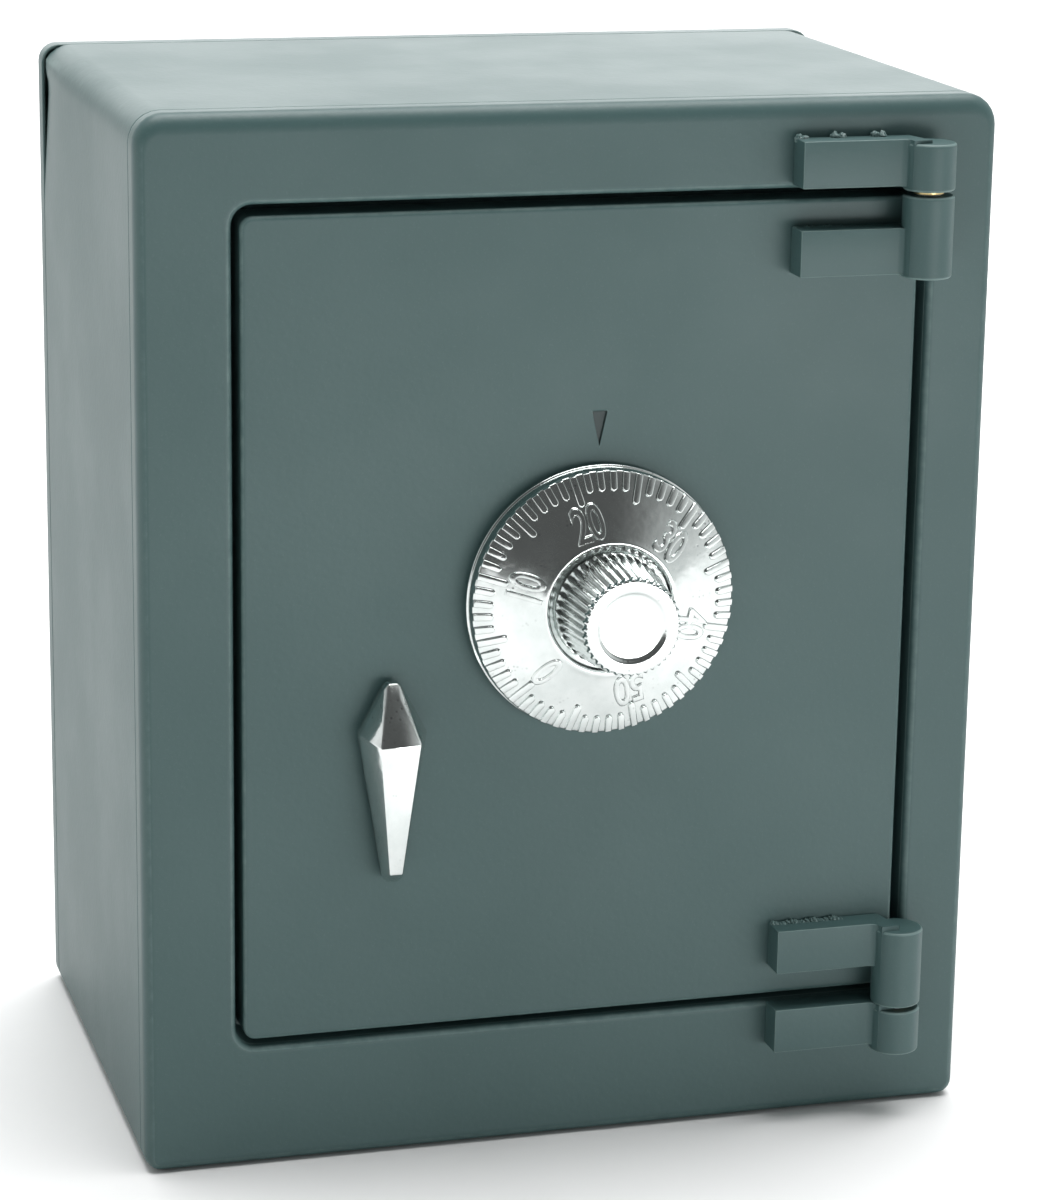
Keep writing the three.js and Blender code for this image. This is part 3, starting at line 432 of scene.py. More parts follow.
def loft(bm, loops, close=False):
    chain = loops + loops[:1] if close else loops
    for first, second in zip(chain, chain[1:]):
        if abs(first[0].verts[0].co.y - second[0].verts[0].co.y) < 0.001 * mm:   # both in one plane
            fillWithHoles(bm, first, [second])
        else:
            bmesh.ops.bridge_loops(bm, edges=first + second)


def fillWithHoles(bm, outer, holes):
    rims = outer + [e for hole in holes for e in hole]
    bmesh.ops.triangle_fill(bm, use_beauty=True, use_dissolve=False, edges=rims)


def quarter(count):
    return [math.radians(90) * i / count for i in range(count + 1)]


def markEdges(bm, sharpest=24.0):
    layer = bm.verts.layers.float.new("edge")
    for v in bm.verts:
        bend = [e.calc_face_angle_signed(0.0) for e in v.link_edges if len(e.link_faces) == 2]
        reaches = any(e.calc_length() > 3 * mm and e.calc_face_angle(0.0) < 0.03 for e in v.link_edges)
        broad = any(len(f.verts) > 4 and f.calc_perimeter() > 20 * mm for f in v.link_faces)
        if not (reaches or broad):   # the edge lightening (painted highlight on paint, rubbed edges on metal) must not run out over a flat face
            v[layer] = min(1.0, max(0.0, max(bend, default=0.0)) / math.radians(sharpest))


def finishPiece(bm, name, body, slotName, nodes=(), sharp=35.0, tidy=True):
    if tidy:
        bmesh.ops.remove_doubles(bm, verts=bm.verts, dist=0.002 * mm)
        bmesh.ops.recalc_face_normals(bm, faces=bm.faces)
    markEdges(bm)
    mesh = takeMesh(bm, name)
    mesh.shade_smooth()
    mesh.set_sharp_from_angle(angle=math.radians(sharp))
    piece = bpy.data.objects.new(name, mesh)
    bpy.context.scene.collection.objects.link(piece)
    mesh.materials.append(materials[slotName])
    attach(piece, body)
    if nodes:
        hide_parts(*nodes)
    return piece


def finishedMesh(piece):
    return bpy.data.meshes.new_from_object(piece.evaluated_get(bpy.context.evaluated_depsgraph_get()))


def applyBoolean(bm, cutter, operation):
    parts = []
    for source in (bm, cutter):
        bmesh.ops.recalc_face_normals(source, faces=source.faces)
        parts.append(bpy.data.objects.new("boolean part", takeMesh(source, "boolean part")))
        bpy.context.scene.collection.objects.link(parts[-1])
    modifier = parts[0].modifiers.new("boolean", "BOOLEAN")
    modifier.operation = operation
    modifier.solver = "EXACT"
    modifier.object = parts[1]
    joined = bmesh.new()
    joined.from_mesh(finishedMesh(parts[0]))
    for part in parts:
        bpy.data.objects.remove(part)
    return joined


def spun(bm, profile, axis, centre, steps=64):
    verts = [bm.verts.new(p) for p in profile]
    edges = [bm.edges.new(pair) for pair in zip(verts, verts[1:])]
    bmesh.ops.spin(bm, geom=verts + edges, cent=centre, axis=axis, angle=math.tau, steps=steps,
                   use_merge=True)
    bmesh.ops.remove_doubles(bm, verts=bm.verts, dist=0.002 * mm)


def turnedOnY(bm, x, z, profile, steps=64):
    spun(bm, [(x + radius, y, z) for radius, y in profile], (0, 1, 0), (x, 0, z), steps)


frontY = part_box("outer_shell")[0].y


def at(depth):
    return frontY + depth * mm


caseSpec = {
    "cornerTop": 9.5,
    "cornerBottom": 5.5,
    "wall": 2.5,
    "edge": (3.3, 3.3, 3.6, 6.0),   # front edge round: left, right, bottom, top
    "edgeDepth": 4.5,
    "doorGap": (2.3, 3.6, 2.4, 3.2),   # left, right, bottom, top
    "openingCorner": 6.3,
    "openingRoll": 2.2,
    "grooveAt": 9.2,
    "grooveDepth": 0.4,
    "groove": ((0, -4.0), (0, -0.5), (0, 0), (0.25, 0.22), (1, 0.6), (0.25, 0.98), (0, 1.2), (0, 1.7)),
    "sideRings": (130, 140, 148, 154, 159, 163, 166.5),
    "rearEdge": 0.9,
    "rearFlange": 14.0,
    "dent": 2.0,   # the case's rear left edge is pressed in near the top
    "dentCuts": (12, 16, 20, 25, 30, 35, 40, 46, 52),
}


def caseRadii(spec, shrink=0.0):
    return ((spec["cornerBottom"] - shrink) * mm, (spec["cornerTop"] - shrink) * mm)


def makeCase(spec):
    outer = frontBox("outer_shell")
    opening = grown(frontBox("door_plate"), tuple(g * mm for g in spec["doorGap"]))
    end = depths("outer_shell")[1]
    wall, rear = spec["wall"], spec["rearEdge"]
    bm = bmesh.new()
    loops = []

    def openingRing(grow, depth):
        radius = (spec["openingCorner"] + grow) * mm
        loops.append(ring(bm, grown(opening, grow * mm), (radius, radius), at(depth)))

    def outerRing(shrink, depth):
        sides = shrink if isinstance(shrink, tuple) else (shrink,) * 4
        box = grown(outer, tuple(-s * mm for s in sides))
        loops.append(ring(bm, box, caseRadii(spec, max(sides) * 0.8), at(depth)))

    for a in quarter(5):
        openingRing(spec["openingRoll"] * (1 - math.cos(a)), wall * (1 - math.sin(a)))
    openingRing(spec["openingRoll"] + 0.5, 0)
    outerRing(tuple(e + 0.5 for e in spec["edge"]), 0)
    for a in quarter(7):
        shrinks = tuple(e * (1 - math.sin(a)) for e in spec["edge"])
        outerRing(shrinks, spec["edgeDepth"] * (1 - math.cos(a)))
    for share, depth in spec["groove"]:
        outerRing(share * spec["grooveDepth"], spec["grooveAt"] + depth)
    for depth in spec["sideRings"] + (end - 1.6,):
        outerRing(0, depth)
    for a in quarter(4):
        outerRing(rear * (1 - math.cos(a)), end - rear * (1 - math.sin(a)))
    outerRing(spec["rearFlange"], end)
    outerRing(spec["rearFlange"], end - wall)
    outerRing(wall, end - wall)
    outerRing(wall, wall)
    openingRing(0, wall)
    loft(bm, loops)
    bmesh.ops.remove_doubles(bm, verts=bm.verts, dist=0.002 * mm)
    top = outer[3]
    for drop in spec["dentCuts"]:
        geom = bm.verts[:] + bm.edges[:] + bm.faces[:]
        bmesh.ops.bisect_plane(bm, geom=geom, plane_co=(0, 0, top - drop * mm), plane_no=(0, 0, 1))
    dentFrom = at(spec["sideRings"][0])
    for v in bm.verts:
        if v.co.x < outer[0] + 1.0 * mm and v.co.y > dentFrom:
            down = (top - v.co.z) / mm
            reach = (v.co.y - dentFrom) / (at(end) - dentFrom)
            along = min(max((down - 3) / 9, 0), 1) * min(max((50 - down) / 34, 0), 1)
            v.co.x += spec["dent"] * mm * reach ** 2 * along
    return finishPiece(bm, "case_shell", "body", "paint", ["outer_shell"])


rearSpec = {
    "sheet": 1.0,
    "back": 2.0,
    "cornerTop": 6.0,
    "cornerBottom": 5.5,
    "edge": 2.2,
    "hole": 2.9,
    "countersink": 4.3,
}


def makeRearCover(spec):
    outer = frontBox("rear_cover")
    start, end = depths("rear_cover")
    places = [frontCentre(f"rear_cover_screw_{i}") for i in (1, 2, 3, 4)]
    sheet, edge, inner = spec["sheet"], spec["edge"], spec["back"]
    bm = bmesh.new()

    def coverRing(shrink, depth):
        radii = ((spec["cornerBottom"] - shrink) * mm, (spec["cornerTop"] - shrink) * mm)
        return ring(bm, grown(outer, -shrink * mm), radii, at(depth))

    loops = [coverRing(inner, end - inner), coverRing(inner, start + 6)]
    for shrink, depth in ((sheet, 3.5), (sheet, 0.3), (sheet * 0.7, 0), (0.3, 0), (0, 0.3), (0, 0.9)):
        loops.append(coverRing(shrink, start + depth))
    for a in quarter(6):
        loops.append(coverRing(edge * (1 - math.cos(a)), end - edge * (1 - math.sin(a))))
    loops.append(coverRing(edge + 0.6, end))
    loft(bm, loops)
    outerHoles, innerHoles = [], []
    for x, z in places:
        rim = circle(bm, x, at(end), z, (spec["countersink"] + 0.9) * mm)
        lip = circle(bm, x, at(end), z, (spec["countersink"] + 0.2) * mm)
        seat = circle(bm, x, at(end - 0.2), z, spec["countersink"] * mm)
        throat = circle(bm, x, at(end - inner + 0.3), z, spec["hole"] * mm)
        back = circle(bm, x, at(end - inner), z, spec["hole"] * mm)
        loft(bm, [rim, lip, seat, throat, back])
        outerHoles.append(rim)
        innerHoles.append(back)
    fillWithHoles(bm, loops[-1], outerHoles)
    fillWithHoles(bm, loops[0], innerHoles)
    return finishPiece(bm, "rear_cover_plate", "body", "paint", ["rear_cover"])


screwSpec = {   # profiles are radius and depth under the head's top, in millimetres
    "slotWidth": 0.9,
    "slotLength": 4.4,
    "slotDepth": 1.3,
    "slotTaper": 0.62,
    "slotTurn": 20,
    "flatHead": ((0, 0), (3.3, 0), (3.85, -0.05), (4.0, -0.2), (2.2, -2.1), (2.2, -14.0), (1.6, -14.8),
                 (0, -14.9)),
    "panHead": ((0, 0), (1.8, -0.06), (2.9, -0.3), (3.6, -0.8), (3.95, -1.4), (3.95, -1.75), (3.7, -1.8),
                (1.9, -1.8), (1.9, -22.5), (1.3, -23.6), (0, -23.7)),
}


def slotArm(spec, across, upright, x, y, z):
    arm = bmesh.new()
    bmesh.ops.create_cube(arm, size=1.0)
    bmesh.ops.scale(arm, vec=(across * mm, 2 * spec["slotDepth"] * mm, upright * mm), verts=arm.verts)
    deep = [v for v in arm.verts if v.co.y < 0]
    bmesh.ops.scale(arm, vec=(spec["slotTaper"], 1, spec["slotTaper"]), verts=deep)
    turn = Matrix.Rotation(math.radians(spec["slotTurn"]), 3, "Y")
    bmesh.ops.rotate(arm, matrix=turn, verts=arm.verts)
    bmesh.ops.translate(arm, vec=(x, y, z), verts=arm.verts)
    return arm


def makeScrew(spec, name, node, body, head):
    x, z = frontCentre(node)
    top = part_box(node)[1].y
    bm = bmesh.new()
    turnedOnY(bm, x, z, [(r * mm, top + d * mm) for r, d in spec[head]], 40)
    long, short = spec["slotLength"], spec["slotWidth"]
    first = slotArm(spec, long, short, x, top, z)
    second = slotArm(spec, short, long, x, top, z)
    bm = applyBoolean(bm, applyBoolean(first, second, "UNION"), "DIFFERENCE")
    return finishPiece(bm, name, body, "zinc", [node], sharp=30)


def makeScrews(spec):
    for i in (1, 2, 3, 4):
        makeScrew(spec, f"rear_screw_{i}", f"rear_cover_screw_{i}", "body", "flatHead")
    for i in (1, 2, 3, 4):
        makeScrew(spec, f"cover_screw_{i}", f"boltwork_cover_screw_{i}", "door", "panHead")


doorSpec = {
    "corner": 4.0,
    "edge": 1.3,
    "skin": 3.0,
    "wall": 2.0,
    "indexHalf": 2.45,
    "indexAbove": (5.1, 16.1),   # from the dial's top edge to the index's point and to its flat end
    "indexDepth": 0.9,
    "dialHole": 7.3,
    "handleHole": 7.3,
}


def wedge(bm, x, halfWidth, top, bottom, y):
    before = set(bm.edges)
    places = ((x, y, bottom), (x + halfWidth, y, top), (x - halfWidth, y, top))
    corners = [bm.verts.new(place) for place in places]
    bm.faces.new(corners)
    bevel(bm, corners, 0.45 * mm, 3, "VERTICES")
    loop = newEdges(bm, before)
    bmesh.ops.delete(bm, geom=list({f for e in loop for f in e.link_faces}), context="FACES_ONLY")
    return loop


def makeDoorPlate(spec):
    outer = frontBox("door_plate")
    end = depths("door_plate")[1]
    dialX, dialZ = frontCentre("dial")
    handleX, handleZ = frontCentre("handle_spindle")
    bm = bmesh.new()

    def plateRing(shrink, depth):
        radius = (spec["corner"] - shrink) * mm
        return ring(bm, grown(outer, -shrink * mm), (radius, radius), at(depth))

    loops = [plateRing(spec["wall"], spec["skin"]), plateRing(spec["wall"], end), plateRing(0.4, end),
             plateRing(0, end - 0.4), plateRing(0, spec["edge"] + 0.5)]
    for a in quarter(5):
        loops.append(plateRing(spec["edge"] * (1 - math.cos(a)), spec["edge"] * (1 - math.sin(a))))
    loops.append(plateRing(spec["edge"] + 0.5, 0))
    loft(bm, loops)
    frontHoles, backHoles = [], []
    for x, z, radius in ((dialX, dialZ, spec["dialHole"]), (handleX, handleZ, spec["handleHole"])):
        hole = [circle(bm, x, at(depth), z, (radius + grow) * mm)
                for grow, depth in ((0.8, 0), (0.2, 0), (0, 0.2), (0, spec["skin"]))]
        loft(bm, hole)
        frontHoles.append(hole[0])
        backHoles.append(hole[-1])
    index = []
    dialTop = frontBox("dial")[3]
    point, flat = (dialTop + above * mm for above in spec["indexAbove"])
    for shrink, depth in ((-0.9, 0), (-0.15, 0), (0, 0.12), (0.3, spec["indexDepth"])):
        half = (spec["indexHalf"] - shrink) * mm
        index.append(wedge(bm, dialX, half, flat - shrink * mm, point + shrink * 3 * mm, at(depth)))
    loft(bm, index)
    bmesh.ops.edgeloop_fill(bm, edges=index[-1])
    # painted shade: the sunken index V's floor and walls are marked for a darker colour
    painted_recess_shade = bm.verts.layers.float.new("painted_recess_shade")
    for v in {v for e in index[-2] + index[-1] for v in e.verts}:
        v[painted_recess_shade] = 1.0
    fillWithHoles(bm, loops[-1], frontHoles + index[:1])
    fillWithHoles(bm, loops[0], backHoles)
    return finishPiece(bm, "door_skin", "door", "paint", ["door_plate"])


def makeDoorBack():
    bm = bmesh.new()
    box = frontBox("door_back_plate")
    start, end = depths("door_back_plate")
    loops = []
    for shrink, depth in ((0.9, start), (0.3, start + 0.1), (0, start + 0.5),
                          (0, end - 0.7), (0.2, end - 0.2), (0.8, end)):
        loops.append(ring(bm, grown(box, -shrink * mm), ((3.7 - shrink) * mm,) * 2, at(depth)))
    loops.append(ring(bm, grown(box, -1.4 * mm), (2.4 * mm,) * 2, at(end)))
    loft(bm, loops)
    bmesh.ops.edgeloop_fill(bm, edges=loops[0])
    bmesh.ops.edgeloop_fill(bm, edges=loops[-1])
    return finishPiece(bm, "door_rear_sheet", "door", "paint", ["door_back_plate"])


def makeSeal():
    bm = bmesh.new()
    box = frontBox("door_seal")
    start, end = (v.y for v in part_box("door_seal"))
    width = 4 * mm
    loops = []
    for i in range(9):
        a = math.pi * i / 8
        shrink = width / 2 * (1 - math.cos(a))
        loops.append(ring(bm, grown(box, -shrink), (max(3.2 * mm - shrink, 0.4 * mm),) * 2,
                          start + (end - start) * math.sin(a)))
    loft(bm, loops, close=True)
    return finishPiece(bm, "door_seal_strip", "door", "seal", ["door_seal"], sharp=60)


coverSpec = {
    "corner": 5.0,
    "sheet": 1.5,
    "edge": 3.0,
    "boltGap": 0.5,
    "studGap": 0.5,
}


def cutSideHoles(bm, box, spec):   # round holes for the bolts on the left and the studs on the right
    sides = [(f"locking_bolt_{place}", box[0], spec["boltGap"]) for place in ("upper", "middle", "lower")]
    sides += [(f"fixed_stud_{place}", box[1], spec["studGap"]) for place in ("upper", "lower")]
    for node, side, gap in sides:
        low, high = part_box(node)
        radius = (high.z - low.z) / 2 + gap * mm
        centre = Matrix.Translation((side, (low.y + high.y) / 2, (low.z + high.z) / 2))
        sideways = centre @ Matrix.Rotation(math.radians(90), 4, "Y")
        cutter = bmesh.new()
        bmesh.ops.create_cone(cutter, cap_ends=True, segments=40, radius1=radius, radius2=radius,
                              depth=12 * mm, matrix=sideways)
        bm = applyBoolean(bm, cutter, "DIFFERENCE")
    return bm


def makeBoltworkCover(spec):
    box = frontBox("boltwork_cover")
    start, end = depths("boltwork_cover")
    bm = bmesh.new()

    def panRing(shrink, depth):
        radius = max(spec["corner"] - shrink * 0.6, 0.8) * mm
        return ring(bm, grown(box, -shrink * mm), (radius, radius), at(depth))

    sheet, edge = spec["sheet"], spec["edge"]
    loops = []
    for shrink, depth in ((sheet, end - sheet), (sheet, start + 0.3), (sheet - 0.3, start), (0.3, start),
                          (0, start + 0.3), (0, end - edge - 1)):
        loops.append(panRing(shrink, depth))
    for a in quarter(6):
        loops.append(panRing(edge * (1 - math.cos(a)), end - edge * (1 - math.sin(a))))
    loops.append(panRing(edge + 0.6, end))
    loft(bm, loops)
    bmesh.ops.edgeloop_fill(bm, edges=loops[0])
    bmesh.ops.edgeloop_fill(bm, edges=loops[-1])
    bm = cutSideHoles(bm, box, spec)
    return finishPiece(bm, "boltwork_lid", "door", "paint", ["boltwork_cover"])


def makeBolt(name, node, body, slotName, tipAt, tip):
    low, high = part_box(node)
    y, z, radius = (low.y + high.y) / 2, (low.z + high.z) / 2, (high.z - low.z) / 2
    sign = 1 if tipAt == "left" else -1
    tipX, endX = (low.x, high.x) if tipAt == "left" else (high.x, low.x)
    profile = [(tipX, 0), (tipX, radius - tip)]
    for a in quarter(5)[1:]:
        profile.append((tipX + sign * tip * (1 - math.cos(a)), radius - tip * (1 - math.sin(a))))
    profile += [(tipX + sign * (tip + 0.4 * mm), radius), (endX - sign * 0.5 * mm, radius)]
    profile += [(endX, radius - 0.5 * mm), (endX, 0)]
    bm = bmesh.new()
    spun(bm, [(x, y, z + r) for x, r in profile], (1, 0, 0), (0, y, z), 48)
    return finishPiece(bm, name, body, slotName, [node])


linerSpec = {
    "corner": 5.5,
    "sheet": 1.5,
    "floor": 4.0,
    "boltGap": 0.5,
    "studGap": 1.0,
}


def makeLiner(spec):
    box = frontBox("inner_liner")
    start, end = depths("inner_liner")
    bm = bmesh.new()

    def linerRing(shrink, depth):
        radius = max(spec["corner"] - shrink, 0.8) * mm
        return ring(bm, grown(box, -shrink * mm), (radius, radius), at(depth))

    sheet, floor = spec["sheet"], spec["floor"]
    loops = []
    for shrink, depth in ((0.5, end), (0, end - 0.5), (0, start + 0.5), (0.4, start), (sheet - 0.4, start),
                          (sheet, start + 0.5), (sheet, end - sheet - floor - 1)):
        loops.append(linerRing(shrink, depth))
    for a in quarter(5):
        shrink = sheet + floor * (1 - math.cos(a)) * 0.6
        loops.append(linerRing(shrink, end - sheet - floor * (1 - math.sin(a))))
    loops.append(linerRing(sheet + floor, end - sheet))
    loft(bm, loops)
    bmesh.ops.edgeloop_fill(bm, edges=loops[0])
    bmesh.ops.edgeloop_fill(bm, edges=loops[-1])
    bm = cutSideHoles(bm, box, spec)
    return finishPiece(bm, "liner_pan", "body", "paint", ["inner_liner"])


def refine(node, name, body, slotName, width=0.4, angle=30.0):
    bm = bmesh.new()
    bm.from_mesh(frame["nodes"][node].data)
    bmesh.ops.remove_doubles(bm, verts=bm.verts, dist=0.003 * mm)
    bmesh.ops.dissolve_limit(bm, angle_limit=math.radians(1.0), verts=bm.verts, edges=bm.edges)
    sharp = [e for e in bm.edges if len(e.link_faces) == 2 and e.calc_face_angle(0) > math.radians(angle)]
    bevel(bm, sharp, width * mm, 3, "EDGES", clamp_overlap=True)
    return finishPiece(bm, name, body, slotName, [node], tidy=False)


hingeSpec = {
    "leafFront": 9.5,   # how far the leaf's face stands in front of the case
    "leafLength": 31.35,
    "edge": 0.8,
    "valley": 3.0,
}
hingeLeaves = {   # where the barrel and the leaf start and end inside the strap's own height
    "hinge_upper_frame_leaf": ("body", (0, 1.0), (1.3, 0)),
    "hinge_upper_door_leaf": ("door", (0, 0), (1.0, 10.1)),
    "hinge_lower_door_leaf": ("door", (0, 1.6), (12.7, 0)),
    "hinge_lower_frame_leaf": ("body", (0, 1.6), (1.9, 0)),
}
weldSpec = {   # each blob: how far along the leaf, how wide and how high, in millimetres
    "hinge_upper_frame_leaf": [(0.9, 2.6, 1.4), (2.9, 2.4, 1.1), (12.4, 2.8, 1.9), (14.9, 2.6, 1.5),
                               (25.4, 2.8, 2.0), (27.9, 2.6, 1.7)],
    "hinge_upper_door_leaf": [],
    "hinge_lower_door_leaf": [],
    "hinge_lower_frame_leaf": [],
}
for i in range(19):
    bead = (0.8 + 1.3 * i, 1.3 + 0.5 * math.sin(i * 2.4), 0.75 + 0.4 * math.sin(i * 5.1 + 1))
    weldSpec["hinge_lower_door_leaf"].append(bead)
for i in range(9):
    bead = (0.6 + 1.9 * i, 1.2 + 0.4 * math.sin(i * 3.1), 0.35 + 0.2 * math.sin(i * 4.3))
    weldSpec["hinge_upper_door_leaf"].append(bead)


def hingeAxis():
    low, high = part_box("hinge_upper_pin")
    return (low.x + high.x) / 2, (low.y + high.y) / 2


def makeHingeLeaf(spec, node):
    body, barrelTrim, leafTrim = hingeLeaves[node]
    low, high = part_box(node)
    axisX, axisY = hingeAxis()
    radius = high.x - axisX
    barrelZ = (low.z + barrelTrim[0] * mm, high.z - barrelTrim[1] * mm)
    leafZ = (low.z + leafTrim[0] * mm, high.z - leafTrim[1] * mm)
    front, right, valley = at(-spec["leafFront"]), low.x + spec["leafLength"] * mm, spec["valley"] * mm
    bm = bmesh.new()
    outline = [(low.x, high.y), (low.x, front), (right, front)]
    for a in quarter(5)[1:]:   # the hollow between leaf and barrel
        outline.append((right + valley * math.sin(a) * 0.9, front - valley * (1 - math.cos(a)) * 1.2))
    outline += [(axisX - 1 * mm, front - 3.2 * mm), (axisX - 4 * mm, high.y)]
    flat = bm.faces.new([bm.verts.new((x, y, leafZ[0])) for x, y in outline])
    raised = bmesh.ops.extrude_face_region(bm, geom=[flat])
    lifted = [g for g in raised["geom"] if isinstance(g, bmesh.types.BMVert)]
    bmesh.ops.translate(bm, vec=(0, 0, leafZ[1] - leafZ[0]), verts=lifted)
    bmesh.ops.recalc_face_normals(bm, faces=bm.faces)
    corners = [e for e in bm.edges if e.calc_face_angle(0) > math.radians(40)
               and max(v.co.x for v in e.verts) < right + 2.5 * mm
               and min(v.co.y for v in e.verts) < high.y - 1 * mm]
    bevel(bm, corners, spec["edge"] * mm, 4, "EDGES", clamp_overlap=True)
    barrel = bmesh.new()
    e = 0.9 * mm
    bottom, top = barrelZ
    profile = [(0, bottom), (radius - e, bottom)]
    profile += [(radius - e + e * math.sin(a), bottom + e * (1 - math.cos(a))) for a in quarter(4)[1:]]
    profile += [(radius, bottom + 1.3 * mm), (radius, top - 1.3 * mm)]
    profile += [(radius - e + e * math.cos(a), top - e + e * math.sin(a)) for a in quarter(4)]
    profile += [(0, top)]
    spun(barrel, [(axisX + x, axisY, z) for x, z in profile], (0, 0, 1), (axisX, axisY, 0), 72)
    bm = applyBoolean(bm, barrel, "UNION")
    for i, (along, width, height) in enumerate(weldSpec[node]):
        blob = bmesh.new()
        bmesh.ops.create_icosphere(blob, subdivisions=3, radius=1.0)
        for v in blob.verts:
            wave = 0.16 * math.sin(v.co.x * 5 + i * 1.7) * math.cos(v.co.y * 6 + i)
            v.co *= 1 + wave + 0.1 * math.sin(v.co.z * 9 + i * 2.3)
        bmesh.ops.scale(blob, vec=(width / 2 * mm, 1.6 * mm, height * mm), verts=blob.verts)
        place = (low.x + along * mm, high.y - 1.5 * mm, leafZ[1] - 0.15 * mm)
        bmesh.ops.translate(blob, vec=place, verts=blob.verts)
        bm.from_mesh(takeMesh(blob, "blob"))
    return finishPiece(bm, node.replace("hinge_", "") + "_strap", body, "paint", [node], sharp=40)


def makeGapWasher(place):
    node = f"hinge_{place}_washer"
    low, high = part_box(node)
    x, y = hingeAxis()
    pin = (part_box("hinge_upper_pin")[1].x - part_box("hinge_upper_pin")[0].x) / 2
    inner, outer = pin + 0.1 * mm, pin + 0.6 * mm
    edge = 0.1 * mm
    profile = [(inner, low.z), (outer - edge, low.z), (outer, low.z + edge), (outer, high.z - edge),
               (outer - edge, high.z), (inner, high.z), (inner, low.z)]
    bm = bmesh.new()
    spun(bm, [(x + r, y, z) for r, z in profile], (0, 0, 1), (x, y, 0), 48)
    return finishPiece(bm, f"{place}_gap_washer", "body", "brass", [node])


dialSpec = {
    "rim": 42.5,
    "rimFront": -7.5,
    "rimShape": ((1.1, -1.5), (0.3, -1.7), (0, -2.1), (0, -2.5), (0.25, -2.8), (0.6, -3.0), (0.62, -6.6),
                 (0.68, -7.1), (0.9, -7.45)),   # distance in from the rim, and depth
    "coneInner": 22.0,
    "coneTop": -15.4,
    "collarShape": ((0, -0.05), (0.5, -0.3), (1.0, -0.55), (1.6, -0.6), (2.1, -0.42), (2.4, 0), (2.5, 0.8),
                    (2.8, 1.3), (3.4, 1.5)),
    "marks": 60,
    "markWidth": 2.3,
    "shortMark": 5.8,
    "longMark": 9.0,
    "markHeight": 0.85,
    "zeroAt": -135.0,   # degrees clockwise from the top at rest
    "numberRadius": 27.6,
    "numberSize": 14.6,
    "numberSquash": 0.70,
    "numberHeight": 0.5,
    "numberOutline": 0.52,
}


def coneDepth(spec, radius):
    share = (spec["rim"] - 0.8 - radius) / (spec["rim"] - 0.8 - spec["coneInner"])
    return spec["rimFront"] + (spec["coneTop"] - spec["rimFront"]) * share


def markShape(spec, length):   # a bar along +Z with a round inner end, lying on the cone
    width, outerEnd = spec["markWidth"], spec["rim"] - 0.75
    places = ((-1, outerEnd), (1, outerEnd), (1, outerEnd - length), (-1, outerEnd - length))
    mark = bmesh.new()
    corners = [mark.verts.new((side * width / 2, 0, out)) for side, out in places]
    mark.faces.new(corners)
    bevel(mark, corners[2:], width * 0.48, 4, "VERTICES")
    lifted = bmesh.ops.extrude_face_region(mark, geom=mark.faces[:])
    topVerts = [g for g in lifted["geom"] if isinstance(g, bmesh.types.BMVert)]
    bmesh.ops.translate(mark, vec=(0, -1.0, 0), verts=topVerts)
    for v in mark.verts:
        lift = spec["markHeight"] if v.co.y < -0.5 else -0.6
        v.co.y = coneDepth(spec, v.co.z) - lift
    bmesh.ops.recalc_face_normals(mark, faces=mark.faces)
    topEdges = [e for e in mark.edges if all(v in topVerts for v in e.verts)]
    bevel(mark, topEdges, 0.42, 3, "EDGES")
    bmesh.ops.scale(mark, vec=(mm,) * 3, verts=mark.verts)
    return mark


def makeDial(spec):
    x, z = frontCentre("dial")
    rim, inner, top = spec["rim"], spec["coneInner"], spec["coneTop"]
    profile = [(0, -1.5)]
    profile += [(rim - back, depth) for back, depth in spec["rimShape"]]
    for radius in (rim - 1.5, 38, 34, 30, 26, 23.2, inner + 0.6):
        profile.append((radius, coneDepth(spec, radius)))
    profile += [(inner - back, top + depth) for back, depth in spec["collarShape"]]
    profile += [(4.5, top + 1.5), (4.5, top + 3), (0, top + 3)]
    bm = bmesh.new()
    turnedOnY(bm, x, z, [(r * mm, at(d)) for r, d in profile], 180)
    for i in range(spec["marks"]):
        length = spec["shortMark"] if i % 5 else spec["longMark"]
        mark = markShape(spec, length)
        turn = math.radians(spec["zeroAt"] + 360 / spec["marks"] * i)
        bmesh.ops.rotate(mark, matrix=Matrix.Rotation(turn, 3, "Y"), verts=mark.verts)
        bmesh.ops.translate(mark, vec=(x, frontY, z), verts=mark.verts)
        bm.from_mesh(takeMesh(mark, "mark"))
    for value in range(0, spec["marks"], 10):
        turn = math.radians(spec["zeroAt"] + 360 / spec["marks"] * value)
        bm.from_mesh(numberMesh(spec, str(value), x, z, turn))
    return finishPiece(bm, "dial_disc", "dial", "plated", ["dial"], sharp=40, tidy=False)


